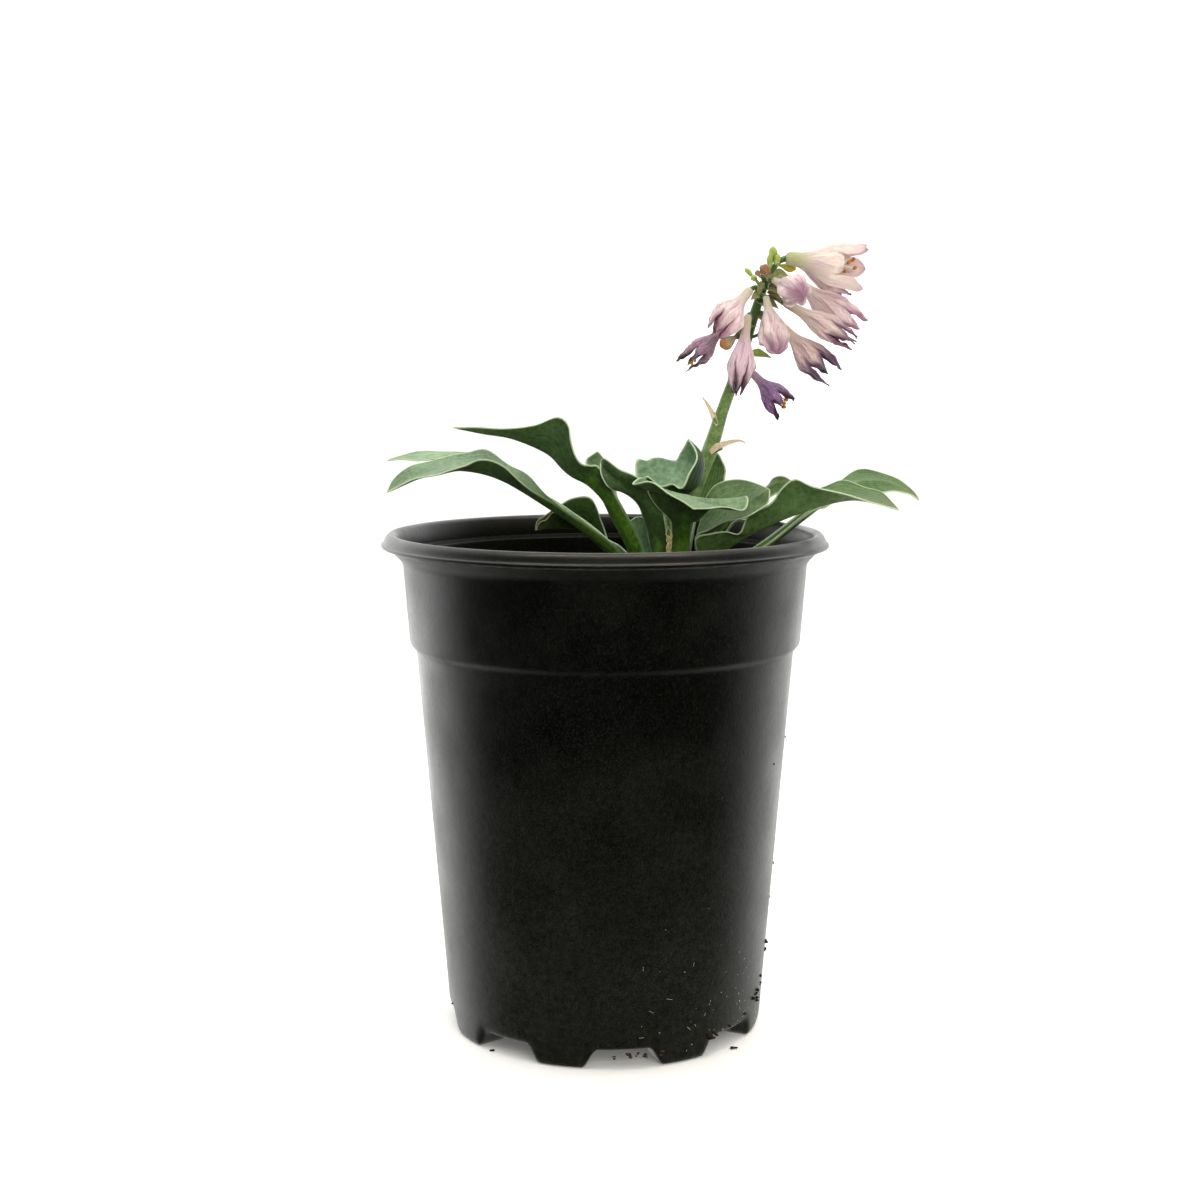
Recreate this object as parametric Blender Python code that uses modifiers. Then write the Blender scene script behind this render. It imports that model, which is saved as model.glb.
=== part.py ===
"""A small hosta in bloom, standing in a black nursery pot.

Every size below is in millimetres and MM turns it into metres. +Z is up, the pot's feet stand on
z = 0, and the sizes are laid out round the pot's axis. At the end the whole model moves sideways,
so that the origin lies under the middle of its bounding box.
"""

import math

import bmesh
import bpy
from mathutils import Matrix, Vector

MM = 0.001
GAP = 0.3

# Pot
RIM_RADIUS = 82.5
RIM_HEIGHT = 185.3
INNER_RIM_RADIUS = 76.7
SHOULDER_RADIUS = 74.6
SHOULDER_HEIGHT = 174.0
BAND_RADIUS = 72.4
BAND_HEIGHT = 145.2
BODY_RADIUS = 70.0
BODY_HEIGHT = 142.2
BASE_RADIUS = 57.6
CORNER_RADIUS = 59.3
CORNER_HEIGHT = 11.0
FOOT_HEIGHT = 6.8
WALL = 1.2
FLOOR_THICKNESS = 1.5
POT_STEPS = 56
FOOT_COUNT = 8
FIRST_FOOT_DEG = -16.0
FOOT_CIRCLE = 51.0
FOOT_TOP_RADIUS = 12.5
FOOT_SOLE_RADIUS = 8.8
FOOT_SQUASH = 0.6
DRAIN_CIRCLE = 46.0
DRAIN_RADIUS = 4.5

# Soil and the crown that the leaves rise from
SOIL_EDGE = 155.0
SOIL_CROWN = 158.0
SOIL_STEPS = 40
CROWN = Vector((23.0, 3.0, 158.0))
STEM_DEPTH = 7.0
HOLE_RADIUS = 4.7

# Leaves
PETIOLE_HALF = 3.1
PETIOLE_RISE = 1.5
PETIOLE_THICK = 2.3
PETIOLE_BELLY = 0.25
RIB_FADE = 0.4
RIB_FADE_POWER = 0.7
RIB_SLOPE = 1.15
EDGE_THICK = 0.7
PETIOLE_EDGE = 0.9
RIB_END = 0.8
SECTION = (0.0, 0.4, 0.75, 1.0)
PETIOLE_ROWS = 4
BLADE_ROWS = 9

# Flowers
PETAL_THICK = 0.7
LOBES = 6
COLUMNS_PER_LOBE = 2

GREEN = (0.16, 0.30, 0.17)
COLOURS = {
    "black plastic": ((0.012, 0.013, 0.012), 0.42),
    "potting soil": ((0.045, 0.03, 0.02), 0.95),
    "hosta leaf": (GREEN, 0.5),
    "flower stem": ((0.18, 0.28, 0.12), 0.5),
    "pink petal": ((0.75, 0.60, 0.68), 0.55),
    "violet petal": ((0.30, 0.16, 0.36), 0.55),
    "green bract": ((0.25, 0.36, 0.08), 0.55),
    "dry bract": ((0.60, 0.45, 0.26), 0.7),
    "young pod": ((0.70, 0.50, 0.26), 0.55),
}


def mm(*values):
    return Vector(values) * MM


def clear_scene():
    for thing in list(bpy.data.objects):
        bpy.data.objects.remove(thing, do_unlink=True)


def new_collection(name, helper=False):
    group = bpy.data.collections.new(name)
    bpy.context.scene.collection.children.link(group)
    group.hide_render = helper
    return group


def finish_of(name):
    colour, roughness = COLOURS[name]
    finish = bpy.data.materials.new(name)
    finish.use_nodes = True
    shader = finish.node_tree.nodes["Principled BSDF"]
    shader.inputs["Base Color"].default_value = (*colour, 1.0)
    shader.inputs["Roughness"].default_value = roughness
    shader.inputs["Metallic"].default_value = 0.0
    finish.diffuse_color = (*colour, 1.0)
    return finish


def add_object(name, mesh, group, finish=None):
    thing = bpy.data.objects.new(name, mesh)
    group.objects.link(thing)
    if finish:
        mesh.materials.append(finish_of(finish))
    return thing


def mesh_of(name, build):
    """A mesh whose geometry the function `build` puts into an empty bmesh."""
    shape = bmesh.new()
    build(shape)
    mesh = bpy.data.meshes.new(name)
    shape.to_mesh(mesh)
    shape.free()
    return mesh


def add_turned(name, profile, steps, group, finish):
    """A closed outline of (radius, height) points, turned round the Z axis by a Screw modifier."""

    def outline(shape):
        corners = [shape.verts.new(mm(radius, 0, height)) for radius, height in profile]
        for corner, following in zip(corners, corners[1:] + corners[:1]):
            if corner.co.x or following.co.x:
                shape.edges.new((corner, following))

    thing = add_object(name, mesh_of(name, outline), group, finish)
    turn = thing.modifiers.new("turn", "SCREW")
    turn.steps = steps
    turn.render_steps = steps
    turn.use_merge_vertices = True
    turn.merge_threshold = 0.01 * MM
    return thing


def apply_modifiers(thing):
    graph = bpy.context.evaluated_depsgraph_get()
    solid = bpy.data.meshes.new_from_object(thing.evaluated_get(graph))
    thing.modifiers.clear()
    thing.data = solid


def combine(thing, group, operation):
    """Joins to the object, or cuts from it, all that a helper collection holds."""
    step = thing.modifiers.new(operation.lower(), "BOOLEAN")
    step.operation = operation
    step.operand_type = "COLLECTION"
    step.collection = group
    step.solver = "EXACT"
    step.use_self = True
    apply_modifiers(thing)
    for helper in list(group.objects):
        bpy.data.objects.remove(helper, do_unlink=True)
    bpy.data.collections.remove(group)


def curve_point(points, t):
    """The point at t, from 0 to len(points) - 1, on a smooth curve through the points."""
    last = len(points) - 1
    i = min(int(t), last - 1)
    f = t - i
    a = points[max(i - 1, 0)]
    b = points[i]
    c = points[i + 1]
    d = points[min(i + 2, last)]
    bend = 2 * a - 5 * b + 4 * c - d
    twist = 3 * b - a - 3 * c + d
    return b + 0.5 * ((c - a) * f + bend * f**2 + twist * f**3)


def spaced(points, start, end, count):
    """count + 1 points at even distances on the smooth curve, from parameter start to end."""
    fine = 16 * count
    dense = [curve_point(points, start + (end - start) * i / fine) for i in range(fine + 1)]
    lengths = [0.0]
    for before, after in zip(dense, dense[1:]):
        lengths.append(lengths[-1] + (after - before).length)
    chosen = []
    at = 0
    for i in range(count + 1):
        goal = lengths[-1] * i / count
        while at < fine - 1 and lengths[at + 1] < goal:
            at += 1
        step = lengths[at + 1] - lengths[at]
        share = (goal - lengths[at]) / step if step else 0.0
        chosen.append(dense[at].lerp(dense[at + 1], min(max(share, 0.0), 1.0)))
    return chosen


# The pot


def pot_profile():
    """The wall's outline: down the outside from the rim, under the base, and up the inside."""
    outside = [
        (INNER_RIM_RADIUS + 1.0, RIM_HEIGHT - 0.4),
        (INNER_RIM_RADIUS + 2.6, RIM_HEIGHT),
        (RIM_RADIUS - 1.7, RIM_HEIGHT - 1.4),
        (RIM_RADIUS - 0.8, RIM_HEIGHT - 3.7),
        (RIM_RADIUS, RIM_HEIGHT - 4.1),
        (RIM_RADIUS, RIM_HEIGHT - 5.1),
        (RIM_RADIUS - 3.4, RIM_HEIGHT - 5.9),
        (RIM_RADIUS - 5.2, RIM_HEIGHT - 7.9),
        (SHOULDER_RADIUS + 0.9, SHOULDER_HEIGHT + 1.6),
        (SHOULDER_RADIUS, SHOULDER_HEIGHT),
        (BAND_RADIUS, BAND_HEIGHT),
        (BAND_RADIUS - 0.6, BAND_HEIGHT - 1.2),
        (BODY_RADIUS, BODY_HEIGHT),
        (CORNER_RADIUS, CORNER_HEIGHT),
        (CORNER_RADIUS - 0.5, FOOT_HEIGHT + 1.8),
        (BASE_RADIUS, FOOT_HEIGHT),
    ]
    floor = FOOT_HEIGHT + FLOOR_THICKNESS
    inside = [
        (0.0, FOOT_HEIGHT),
        (0.0, floor),
        (BASE_RADIUS - 1.6, floor),
        (CORNER_RADIUS - WALL, CORNER_HEIGHT + 1.0),
        (BODY_RADIUS - WALL, BODY_HEIGHT + 0.4),
        (BAND_RADIUS - WALL, BAND_HEIGHT + 0.4),
        (SHOULDER_RADIUS - WALL, SHOULDER_HEIGHT + 0.5),
        (INNER_RIM_RADIUS - 0.5, SHOULDER_HEIGHT + 4.0),
        (INNER_RIM_RADIUS, RIM_HEIGHT - 1.5),
    ]
    return outside + inside


def on_circle(radius, degrees, height):
    """A point round the axis, with the degrees counted from the front towards the right."""
    angle = math.radians(degrees)
    return mm(radius * math.sin(angle), -radius * math.cos(angle), height)


def add_cone(name, place, turn, radii, height, sides, squash, group):
    """A helper cone standing on its place, squashed along its own Y axis."""

    def build(shape):
        bmesh.ops.create_cone(
            shape,
            cap_ends=True,
            segments=sides,
            radius1=radii[0] * MM,
            radius2=radii[1] * MM,
            depth=height * MM,
            matrix=Matrix.Translation(mm(0, 0, height / 2)),
        )
        bmesh.ops.scale(shape, vec=(1.0, squash, 1.0), verts=shape.verts)

    thing = add_object(name, mesh_of(name, build), group)
    thing.location = place
    thing.rotation_euler.z = math.radians(turn)
    thing.display_type = "WIRE"
    thing.hide_render = True
    return thing


def make_pot(group):
    pot = add_turned("pot", pot_profile(), POT_STEPS, group, "black plastic")
    apply_modifiers(pot)
    feet = new_collection("pot feet", helper=True)
    drains = new_collection("pot drains", helper=True)
    radii = (FOOT_SOLE_RADIUS, FOOT_TOP_RADIUS)
    height = FOOT_HEIGHT + FLOOR_THICKNESS / 2
    hole = (DRAIN_RADIUS, DRAIN_RADIUS)
    for i in range(FOOT_COUNT):
        turn = FIRST_FOOT_DEG + i * 360 / FOOT_COUNT
        place = on_circle(FOOT_CIRCLE, turn, 0.0)
        add_cone(f"foot {i}", place, turn, radii, height, 12, FOOT_SQUASH, feet)
        turn += 180 / FOOT_COUNT
        place = on_circle(DRAIN_CIRCLE, turn, 0.0)
        add_cone(f"drain {i}", place, turn, hole, 2 * height, 10, 1.0, drains)
    combine(pot, feet, "UNION")
    combine(pot, drains, "DIFFERENCE")
    pot.data.shade_smooth()
    pot.data.set_sharp_from_angle(angle=math.radians(32))
    return pot


# The soil


def soil_profile():
    """Follows the inside of the pot at a small distance, with a low mound on top."""
    side = WALL + GAP
    bottom = FOOT_HEIGHT + FLOOR_THICKNESS + GAP
    top_radius = BAND_RADIUS - side + (SOIL_EDGE - BAND_HEIGHT) * 0.07
    return [
        (0.0, SOIL_CROWN),
        (20.0, SOIL_CROWN - 0.3),
        (45.0, SOIL_EDGE + 0.8),
        (top_radius - 4.0, SOIL_EDGE - 0.4),
        (top_radius, SOIL_EDGE - 1.0),
        (BAND_RADIUS - side, BAND_HEIGHT + 0.8),
        (BODY_RADIUS - side, BODY_HEIGHT + 0.2),
        (CORNER_RADIUS - side, CORNER_HEIGHT + 1.6),
        (BASE_RADIUS - 2.4, bottom),
        (0.0, bottom),
    ]


def make_soil(group, stems):
    """The potting soil, with a plain round hole for each stem that stands in it."""
    soil = add_turned("soil", soil_profile(), SOIL_STEPS, group, "potting soil")
    apply_modifiers(soil)
    holes = new_collection("stem holes", helper=True)
    hole = (HOLE_RADIUS, HOLE_RADIUS)
    for i, (x, y) in enumerate(stems):
        place = mm(x, y, SOIL_CROWN - STEM_DEPTH - 2 * GAP)
        add_cone(f"hole {i}", place, 0.0, hole, 3 * STEM_DEPTH, 8, 1.0, holes)
    combine(soil, holes, "DIFFERENCE")
    return soil


# The leaves

# Each leaf is a loft along three rails. The rib runs from the soil to the tip, and its first
# `stalk` points belong to the petiole, whose edges are worked out. The left and right edges of
# the blade are seen from above the leaf by one who looks towards its tip; both end at the tip.
# `belly` is how far a half of the blade sags below the straight line from rib to edge.
LEAVES = {
    "leaf_left_low": dict(
        stalk=4,
        belly=0.05,
        upper=3.4,
        rib=[(11.3, 0.6), (9.3, -1.8, 165), (3.5, -5.5, 177.4), (-9, -8, 187.5), (-20, -9, 194.5),
             (-35, -11, 203.5), (-46.1, -12, 207.5), (-56.1, -13, 208.6), (-67.1, -14, 205.9),
             (-78.9, -14, 200.6)],
        left=[(-23, -13, 198.8), (-28.6, -15.5, 203.2), (-33.2, -17, 207.1), (-36.2, -18, 209.8),
              (-41, -18, 212.4), (-46.1, -17, 212.6), (-51.1, -19, 210.1), (-59.1, -21, 207.5),
              (-67.1, -21, 206.5), (-74.1, -18, 202.9)],
        right=[(-20, -3, 196.7), (-28, 1, 205.6), (-36, 3, 209.3), (-44, 5, 215.3), (-52, 4, 213.6),
               (-61.4, 0, 211.9), (-70.4, -5, 209.8), (-76.9, -9, 205.1)],
    ),
    "leaf_left_behind": dict(
        stalk=4,
        belly=0.04,
        rib=[(10.5, 7.8), (8, 7.2, 165), (2, 7, 176.3), (-9, 7.5, 186.3), (-22, 10.5, 196.3),
             (-33.9, 15, 205.2), (-44.9, 18, 211.2), (-57.9, 20, 212.6), (-69.8, 21, 212),
             (-82.8, 21, 210.2)],
        left=[(-22, 6, 196.3), (-34, 8, 205.3), (-46, 8, 209.8), (-56.9, 9, 211.4), (-66.6, 11, 210.9),
              (-75.9, 16, 210.8)],
        right=[(-22, 14, 197.2), (-33.9, 24, 206.1), (-45.9, 30, 210.9), (-57.8, 32, 212.8),
               (-68.8, 30, 213.3), (-77.8, 25, 211.7)],
    ),
    "leaf_left_high": dict(
        stalk=4,
        belly=0.06,
        half=3.1,
        upper=4.2,
        rib=[(13.1, -6.5), (12.9, -8.7, 166), (10.5, -9.5, 178.5), (3, -11, 193.5), (-5, -12, 202.5),
             (-12, -13, 206.4), (-15.5, -14, 209.2), (-21, -14.5, 214.6), (-33.1, -15, 220.1),
             (-44.1, -16, 222.1), (-54.6, -16, 224.1)],
        left=[(-1.8, -14.5, 209), (-4.5, -17, 210.2), (-8.2, -19, 210.8), (-10.6, -20.5, 214.1),
              (-12, -21, 219.7), (-13, -21, 225.2), (-17, -21, 227.9), (-25.1, -20, 224.9),
              (-36.1, -19, 224), (-47.1, -18, 224.2)],
        right=[(-4.5, -8.5, 205), (-10, -3, 209.4), (-15, 1, 215.4), (-21, 2, 219.9), (-31, -2, 221.4),
               (-43, -9, 222.5)],
    ),
    "leaf_left_tip": dict(
        stalk=4,
        belly=0.1,
        half=2.0,
        rib=[(16.5, 12.5), (14.5, 13.5, 165), (10, 14.5, 179.2), (4, 15, 191.2), (0, 16, 200.2),
             (-2, 16, 207.2), (-2.9, 14, 214)],
        left=[(-3, 12, 202.3), (-6.5, 11, 207.3), (-6.5, 12, 211.3)],
        right=[(4, 17, 200.2), (4, 18, 205.2), (0.5, 16, 210.2)],
    ),
    "leaf_front_left": dict(
        stalk=3,
        belly=0.1,
        rib=[(19.6, -9.9), (19.9, -12.3, 166), (19.8, -14, 178.6), (18, -15, 189.6),
             (12.5, -15.5, 198.1), (6.5, -17, 203.6), (1, -15, 208.1), (-1.5, -12, 211.5)],
        left=[(21.6, -14.3, 189.6), (18.7, -13.5, 200.6), (11, -18, 206.6), (5, -18, 209.3),
              (0, -16, 212.9)],
        right=[(14, -13, 190.6), (12, -13, 196.6), (6, -16, 200.6), (1, -18, 203.1),
               (-1.5, -17, 207.6)],
    ),
    "leaf_cup": dict(
        stalk=4,
        belly=0.24,
        rib=[(20.5, 0.5), (20, 1, 164), (19, 2, 178.4), (19, 3, 190.4), (23, 3, 196.4), (30, 2, 198.9),
             (34.8, 4, 203.4), (36.1, 6, 209.3), (33.6, 8, 214.3), (31, 8, 218.8)],
        left=[(13, 7, 198.3), (11.5, 10, 207.3), (12.5, 11, 211.3), (15.5, 12, 210.6), (19, 13, 211.6),
              (26, 13, 209.9), (28.5, 11, 213.8)],
        right=[(14, -3, 198.4), (15, -6, 206), (20, -7, 202), (24.5, -7, 203), (27.8, -7, 201.7),
               (30.4, -5, 206.5), (34, -1, 212.4)],
    ),
    "leaf_front": dict(
        stalk=4,
        belly=0.05,
        half=3.7,
        rib=[(28, -9.2), (28, -11, 165), (28, -12.5, 177.5), (28.2, -14, 188.6), (28.4, -14, 195.1),
             (29.1, -17, 199.6), (30.1, -26, 198.7), (31.1, -36, 196.3)],
        left=[(34.5, -12, 190.5), (40, -11, 195.5), (45.1, -13, 196.9), (51.1, -17, 198.9),
              (50.1, -22, 195.2), (44.1, -28, 196), (37.1, -33, 196.3)],
        right=[(22.5, -15.5, 192.1), (19.3, -17, 195.1), (16, -19, 199.6), (14.8, -20, 204.1),
               (13, -21, 206.4), (10, -23.5, 204.3), (16, -27, 204.9), (23.1, -32, 201.3)],
    ),
    "leaf_front_right": dict(
        stalk=3,
        belly=0.05,
        rib=[(31.5, 2), (33.2, 1, 165), (35.5, -1, 176.3), (39, -4, 184.5), (45.5, -8.5, 190.5),
             (51.1, -12, 195.5), (55.6, -14, 199.1), (59.6, -15, 201.6)],
        left=[(34.5, 3.5, 184.4), (36, 5, 190.4), (38, 6.5, 197.3), (42, 7, 202.3), (48, 4, 204.1),
              (55, -5, 203.3)],
        right=[(33.4, -6, 183.2), (36.3, -9, 186), (41, -13, 188.6), (46.8, -17, 190.8),
               (52, -19, 192.8), (56, -18.5, 194.6), (58.9, -17.5, 197)],
    ),
    "leaf_right_long": dict(
        stalk=3,
        belly=0.03,
        rib=[(35.2, -5.8), (35.3, -8.5, 166), (37, -10.5, 174.3), (43, -11, 179), (50.1, -10.5, 183.5),
             (57.6, -10, 187), (65.1, -10, 190.3), (73.1, -10, 193.1), (81.1, -9.5, 195.7),
             (90.1, -9, 197.5), (98.1, -8.5, 196.5), (107.4, -9, 193.7)],
        left=[(46, -4, 181), (54, -2, 184.4), (63, -1, 191.4), (72, 1, 197.9), (81, 3, 201.4),
              (88.9, 7, 203.8), (96.9, 7, 200.6), (103.5, 4, 198.7)],
        right=[(32.7, -15.5, 183.6), (38.1, -16, 185.6), (44.1, -15.5, 186.6), (48.6, -14.5, 185.8),
               (52.1, -13, 192.1), (60.1, -13.5, 196.3), (64.1, -15, 202.3), (68.6, -16, 205.6),
               (75.1, -16, 202.9), (87.1, -15, 199.6), (98.1, -13, 196.6)],
    ),
    "leaf_right_behind": dict(
        stalk=5,
        belly=0.05,
        half=2.3,
        rib=[(37.5, 7.5), (40, 7.5, 163), (48.5, 7, 170.9), (62.3, 7, 180.5), (76.4, 8, 191.3),
             (89.9, 15, 199.7), (97.8, 20, 202.2), (105.7, 24, 201.9), (113.7, 26, 199.3),
             (120.7, 27, 194.6)],
        left=[(81.9, 15, 194.7), (89.8, 26, 201.9), (96.7, 31, 205.6), (104.6, 33, 205.6),
              (112.6, 32, 202.3), (118.1, 29, 198.6)],
        right=[(82.9, 7, 193.8), (89.9, 11, 196.8), (97.9, 14, 198.4), (105.8, 17, 198.2),
               (113.7, 21, 198.2)],
    ),
    "leaf_behind_stem": dict(
        stalk=4,
        belly=0.15,
        rib=[(28, 15), (29, 17.5, 166), (30.9, 20, 181.2), (34.4, 24, 194.1), (37.9, 26, 204.1),
             (39.9, 26, 209.6), (40.4, 25, 213.6)],
        left=[(27.9, 22, 196.2), (28.9, 24, 205.1), (33.4, 24, 211.6)],
        right=[(41.9, 21, 192.2), (45.4, 22, 201.2), (45.4, 23, 208.1), (43.4, 24, 212.1)],
    ),
    "leaf_left_short": dict(
        stalk=3,
        belly=0.1,
        rib=[(11.5, 15), (9.3, 16, 165), (5, 17, 174.1), (-2, 17.5, 181.2), (-10, 18, 184.2),
             (-19, 18, 184.7), (-26.5, 16, 184.2)],
        left=[(-1, 13, 186.3), (-3, 12.8, 192.8), (-6, 13, 196.7), (-12, 14, 196.4), (-17, 15, 193.7),
              (-22, 15.5, 190.2), (-25.5, 15.5, 187.7)],
        right=[(-6, 22, 184.2), (-12, 25, 187.1), (-19, 23, 188.1), (-24, 19, 187.2)],
    ),
    "leaf_small": dict(
        stalk=3,
        belly=0.12,
        half=2.4,
        rib=[(20.3, 9), (19.5, 9.8, 164), (17.5, 10.5, 172.1), (15.5, 10.5, 179.3), (13.5, 10.8, 185.3),
             (11.5, 11.5, 189.3)],
        left=[(12, 9, 177.3), (9, 9, 182.3), (9, 10, 187.3)],
        right=[(19.5, 9, 180.3), (18, 9.5, 186.3), (14.5, 11, 189.3)],
    ),
    "leaf_right_tip": dict(
        stalk=4,
        belly=0.06,
        rib=[(35, 15), (36.5, 15.5, 164), (40.9, 16, 176.2), (46.9, 16, 186.2), (52.9, 15, 193.7),
             (58.9, 14, 198.9), (65.4, 13, 201.9), (70.3, 12, 202.7)],
        left=[(47.9, 20, 190.2), (54.9, 20.5, 195.5), (60.8, 19, 200.3), (63.7, 17, 203.6),
              (67.5, 14.5, 204.4)],
        right=[(53.9, 10, 191.6), (59.9, 9.5, 195.6), (66, 10, 199.3)],
    ),
    "leaf_back": dict(
        stalk=4,
        belly=0.08,
        rib=[(21, 19), (21.5, 22, 166), (22.9, 27, 179.1), (24.9, 34, 189), (27.9, 42, 193.9),
             (29.8, 52, 194.3), (31.8, 64, 190.7)],
        left=[(17.9, 35, 192), (13.9, 43, 196.9), (17.9, 54, 196.8)],
        right=[(31.9, 35, 191), (39.8, 44, 195.9), (41.8, 55, 194.8)],
    ),
    "leaf_back_right": dict(
        stalk=4,
        belly=0.06,
        rib=[(34.5, 22.5), (36, 25, 165), (40.4, 29, 178.1), (45.8, 34, 187), (52.8, 40, 190),
             (59.7, 47, 188.5), (68.6, 54, 184)],
        left=[(42.8, 39, 190), (45.8, 49, 192.5), (54.7, 56, 190)],
        right=[(54.8, 31, 187), (63.8, 36, 189.5), (69.7, 45, 188)],
    ),
    "dry_sheath": dict(
        stalk=3,
        belly=0.0,
        half=1.1,
        thick=0.9,
        rib=[(24.4, -15), (23.7, -17, 165), (23.1, -18, 176.5), (23.1, -19, 183.6),
             (22.8, -19.5, 191.1)],
        left=[(24.4, -19.5, 186.6)],
        right=[(21.9, -19, 187.6)],
    ),
}


def petiole_edges(rib, half, upper, rise):
    """The two edges of the channelled petiole. Its channel faces the crown's axis and the sky, and
    its half width goes from `half` in the soil to `upper` where the blade starts."""
    base = rib[0]
    inward = Vector((CROWN.x - base.x, CROWN.y - base.y, 0.0))
    inward = inward.normalized() if inward.length > 1.0 else Vector((0.0, 1.0, 0.0))
    left = []
    right = []
    for i, place in enumerate(rib):
        ahead = (rib[min(i + 1, len(rib) - 1)] - rib[max(i - 1, 0)]).normalized()
        face = inward + Vector((0.0, 0.0, 0.6))
        face = (face - ahead * face.dot(ahead)).normalized()
        side = ahead.cross(face) * (half + (upper - half) * i / (len(rib) - 1))
        left.append(place - side + face * rise)
        right.append(place + side + face * rise)
    return left, right


def leaf_rows(leaf):
    """The leaf's cross-sections as lists of points, from the soil to the tip, in millimetres."""
    first = leaf["rib"][0]
    rib = [Vector((*first, SOIL_CROWN - STEM_DEPTH))]
    rib += [Vector(point) for point in leaf["rib"][1:]]
    stalk = leaf["stalk"]
    half = leaf.get("half", PETIOLE_HALF)
    rise = PETIOLE_RISE * half / PETIOLE_HALF
    left, right = petiole_edges(rib[: stalk + 1], half, leaf.get("upper", half), rise)
    left = left[:stalk] + [Vector(point) for point in leaf["left"]] + [rib[-1]]
    right = right[:stalk] + [Vector(point) for point in leaf["right"]] + [rib[-1]]
    rails = []
    for rail in (left, rib, right):
        lower = spaced(rail, 0.0, stalk - 1.0, PETIOLE_ROWS)
        upper = spaced(rail, stalk - 1.0, len(rail) - 1.0, BLADE_ROWS)
        rails.append(lower + upper[1:])
    rows = []
    for i, (edge_left, middle, edge_right) in enumerate(zip(*rails)):
        ahead = rails[1][min(i + 1, len(rails[1]) - 1)] - rails[1][max(i - 1, 0)]
        under = ahead.cross(edge_left - edge_right)
        under = -under.normalized() if under.length > 1e-6 else Vector((0.0, 0.0, -1.0))
        belly = PETIOLE_BELLY if i < PETIOLE_ROWS else leaf["belly"]
        row = []
        for edge, shares in ((edge_left, SECTION[::-1]), (edge_right, SECTION[1:])):
            sag = under * belly * (edge - middle).length
            row += [middle.lerp(edge, u) + sag * 4 * u * (1 - u) for u in shares]
        rows.append(row)
    return rows


def add_leaf(name, leaf, group, finish):
    """The leaf as a triangulated sheet, thickened by Solidify: thick at the rib, thin at the edge."""
    rows = leaf_rows(leaf)
    base = Vector((*leaf["rib"][0], SOIL_CROWN))
    thick = leaf.get("thick", PETIOLE_THICK)
    shares = []

    def build(shape):
        corners = []
        for i, row in enumerate(rows[:-1]):
            corners.append([shape.verts.new((point - base) * MM) for point in row])
            along = max(0.0, (i - PETIOLE_ROWS) / BLADE_ROWS)
            rib_thick = thick + (RIB_END - thick) * min(1.0, along / RIB_FADE) ** RIB_FADE_POWER
            edge_thick = EDGE_THICK if i > PETIOLE_ROWS else PETIOLE_EDGE
            for u in SECTION[::-1] + SECTION[1:]:
                shares.append(rib_thick + (edge_thick - rib_thick) * min(1.0, u * RIB_SLOPE))
        tip = shape.verts.new((rows[-1][0] - base) * MM)
        shares.append(EDGE_THICK)
        for lower, upper in zip(corners, corners[1:]):
            for j in range(len(lower) - 1):
                a, b, c, d = lower[j], lower[j + 1], upper[j + 1], upper[j]
                if j < len(lower) // 2:
                    shape.faces.new((a, b, c))
                    shape.faces.new((a, c, d))
                else:
                    shape.faces.new((a, b, d))
                    shape.faces.new((b, c, d))
        for a, b in zip(corners[-1], corners[-1][1:]):
            shape.faces.new((a, b, tip))

    leaf_object = add_object(name, mesh_of(name, build), group, finish)
    leaf_object.location = base * MM
    weights = leaf_object.vertex_groups.new(name="thickness")
    for i, share in enumerate(shares):
        weights.add([i], share / thick, "REPLACE")
    shell = leaf_object.modifiers.new("thickness", "SOLIDIFY")
    shell.thickness = thick * MM
    shell.offset = 0.0
    shell.vertex_group = weights.name
    leaf_object.data.shade_smooth()
    return leaf_object


# The flower stem

# Centre line and radius of the stem, from the soil to its top.
STEM = [
    (26, 6.5, 151, 2.9), (27, 8.5, 165, 3.0), (28.8, 11.5, 183.3, 3.0), (33.9, 14.5, 200.2, 3.0),
    (39.4, 15, 214.2, 2.9), (43.4, 14.5, 227.2, 2.4), (47.2, 14, 238.2, 2.1), (51.9, 13, 252.3, 1.9),
    (55.9, 12, 266.3, 1.8), (58.9, 11.5, 275.3, 1.5), (61.4, 11, 280.8, 1.2),
]
STALK_RADIUS = 1.0


def add_tube(name, points, radii, sides, group):
    """A helper tube through the points: a bevelled POLY curve made a mesh, its caps welded."""
    curve = bpy.data.curves.new(name, "CURVE")
    curve.dimensions = "3D"
    curve.bevel_depth = MM
    curve.bevel_resolution = sides
    curve.use_fill_caps = True
    line = curve.splines.new("POLY")
    line.points.add(len(points) - 1)
    for knot, place, radius in zip(line.points, points, radii):
        knot.co = (*(place * MM), 1.0)
        knot.radius = radius
    guide = bpy.data.objects.new(name + " guide", curve)
    group.objects.link(guide)
    graph = bpy.context.evaluated_depsgraph_get()
    mesh = bpy.data.meshes.new_from_object(guide.evaluated_get(graph))
    bpy.data.objects.remove(guide, do_unlink=True)
    shape = bmesh.new()
    shape.from_mesh(mesh)
    bmesh.ops.remove_doubles(shape, verts=shape.verts, dist=0.01 * MM)
    bmesh.ops.recalc_face_normals(shape, faces=shape.faces)
    shape.to_mesh(mesh)
    shape.free()
    tube = add_object(name, mesh, group)
    tube.hide_render = True
    tube.display_type = "WIRE"
    return tube


def stem_point(height):
    """The stem's centre and radius at a height."""
    for low, high in zip(STEM, STEM[1:]):
        if low[2] <= height <= high[2]:
            share = (height - low[2]) / (high[2] - low[2])
            mixed = Vector(low).lerp(Vector(high), share)
            return Vector(mixed[:3]), mixed[3]
    return Vector(STEM[-1][:3]), STEM[-1][3]


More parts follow.
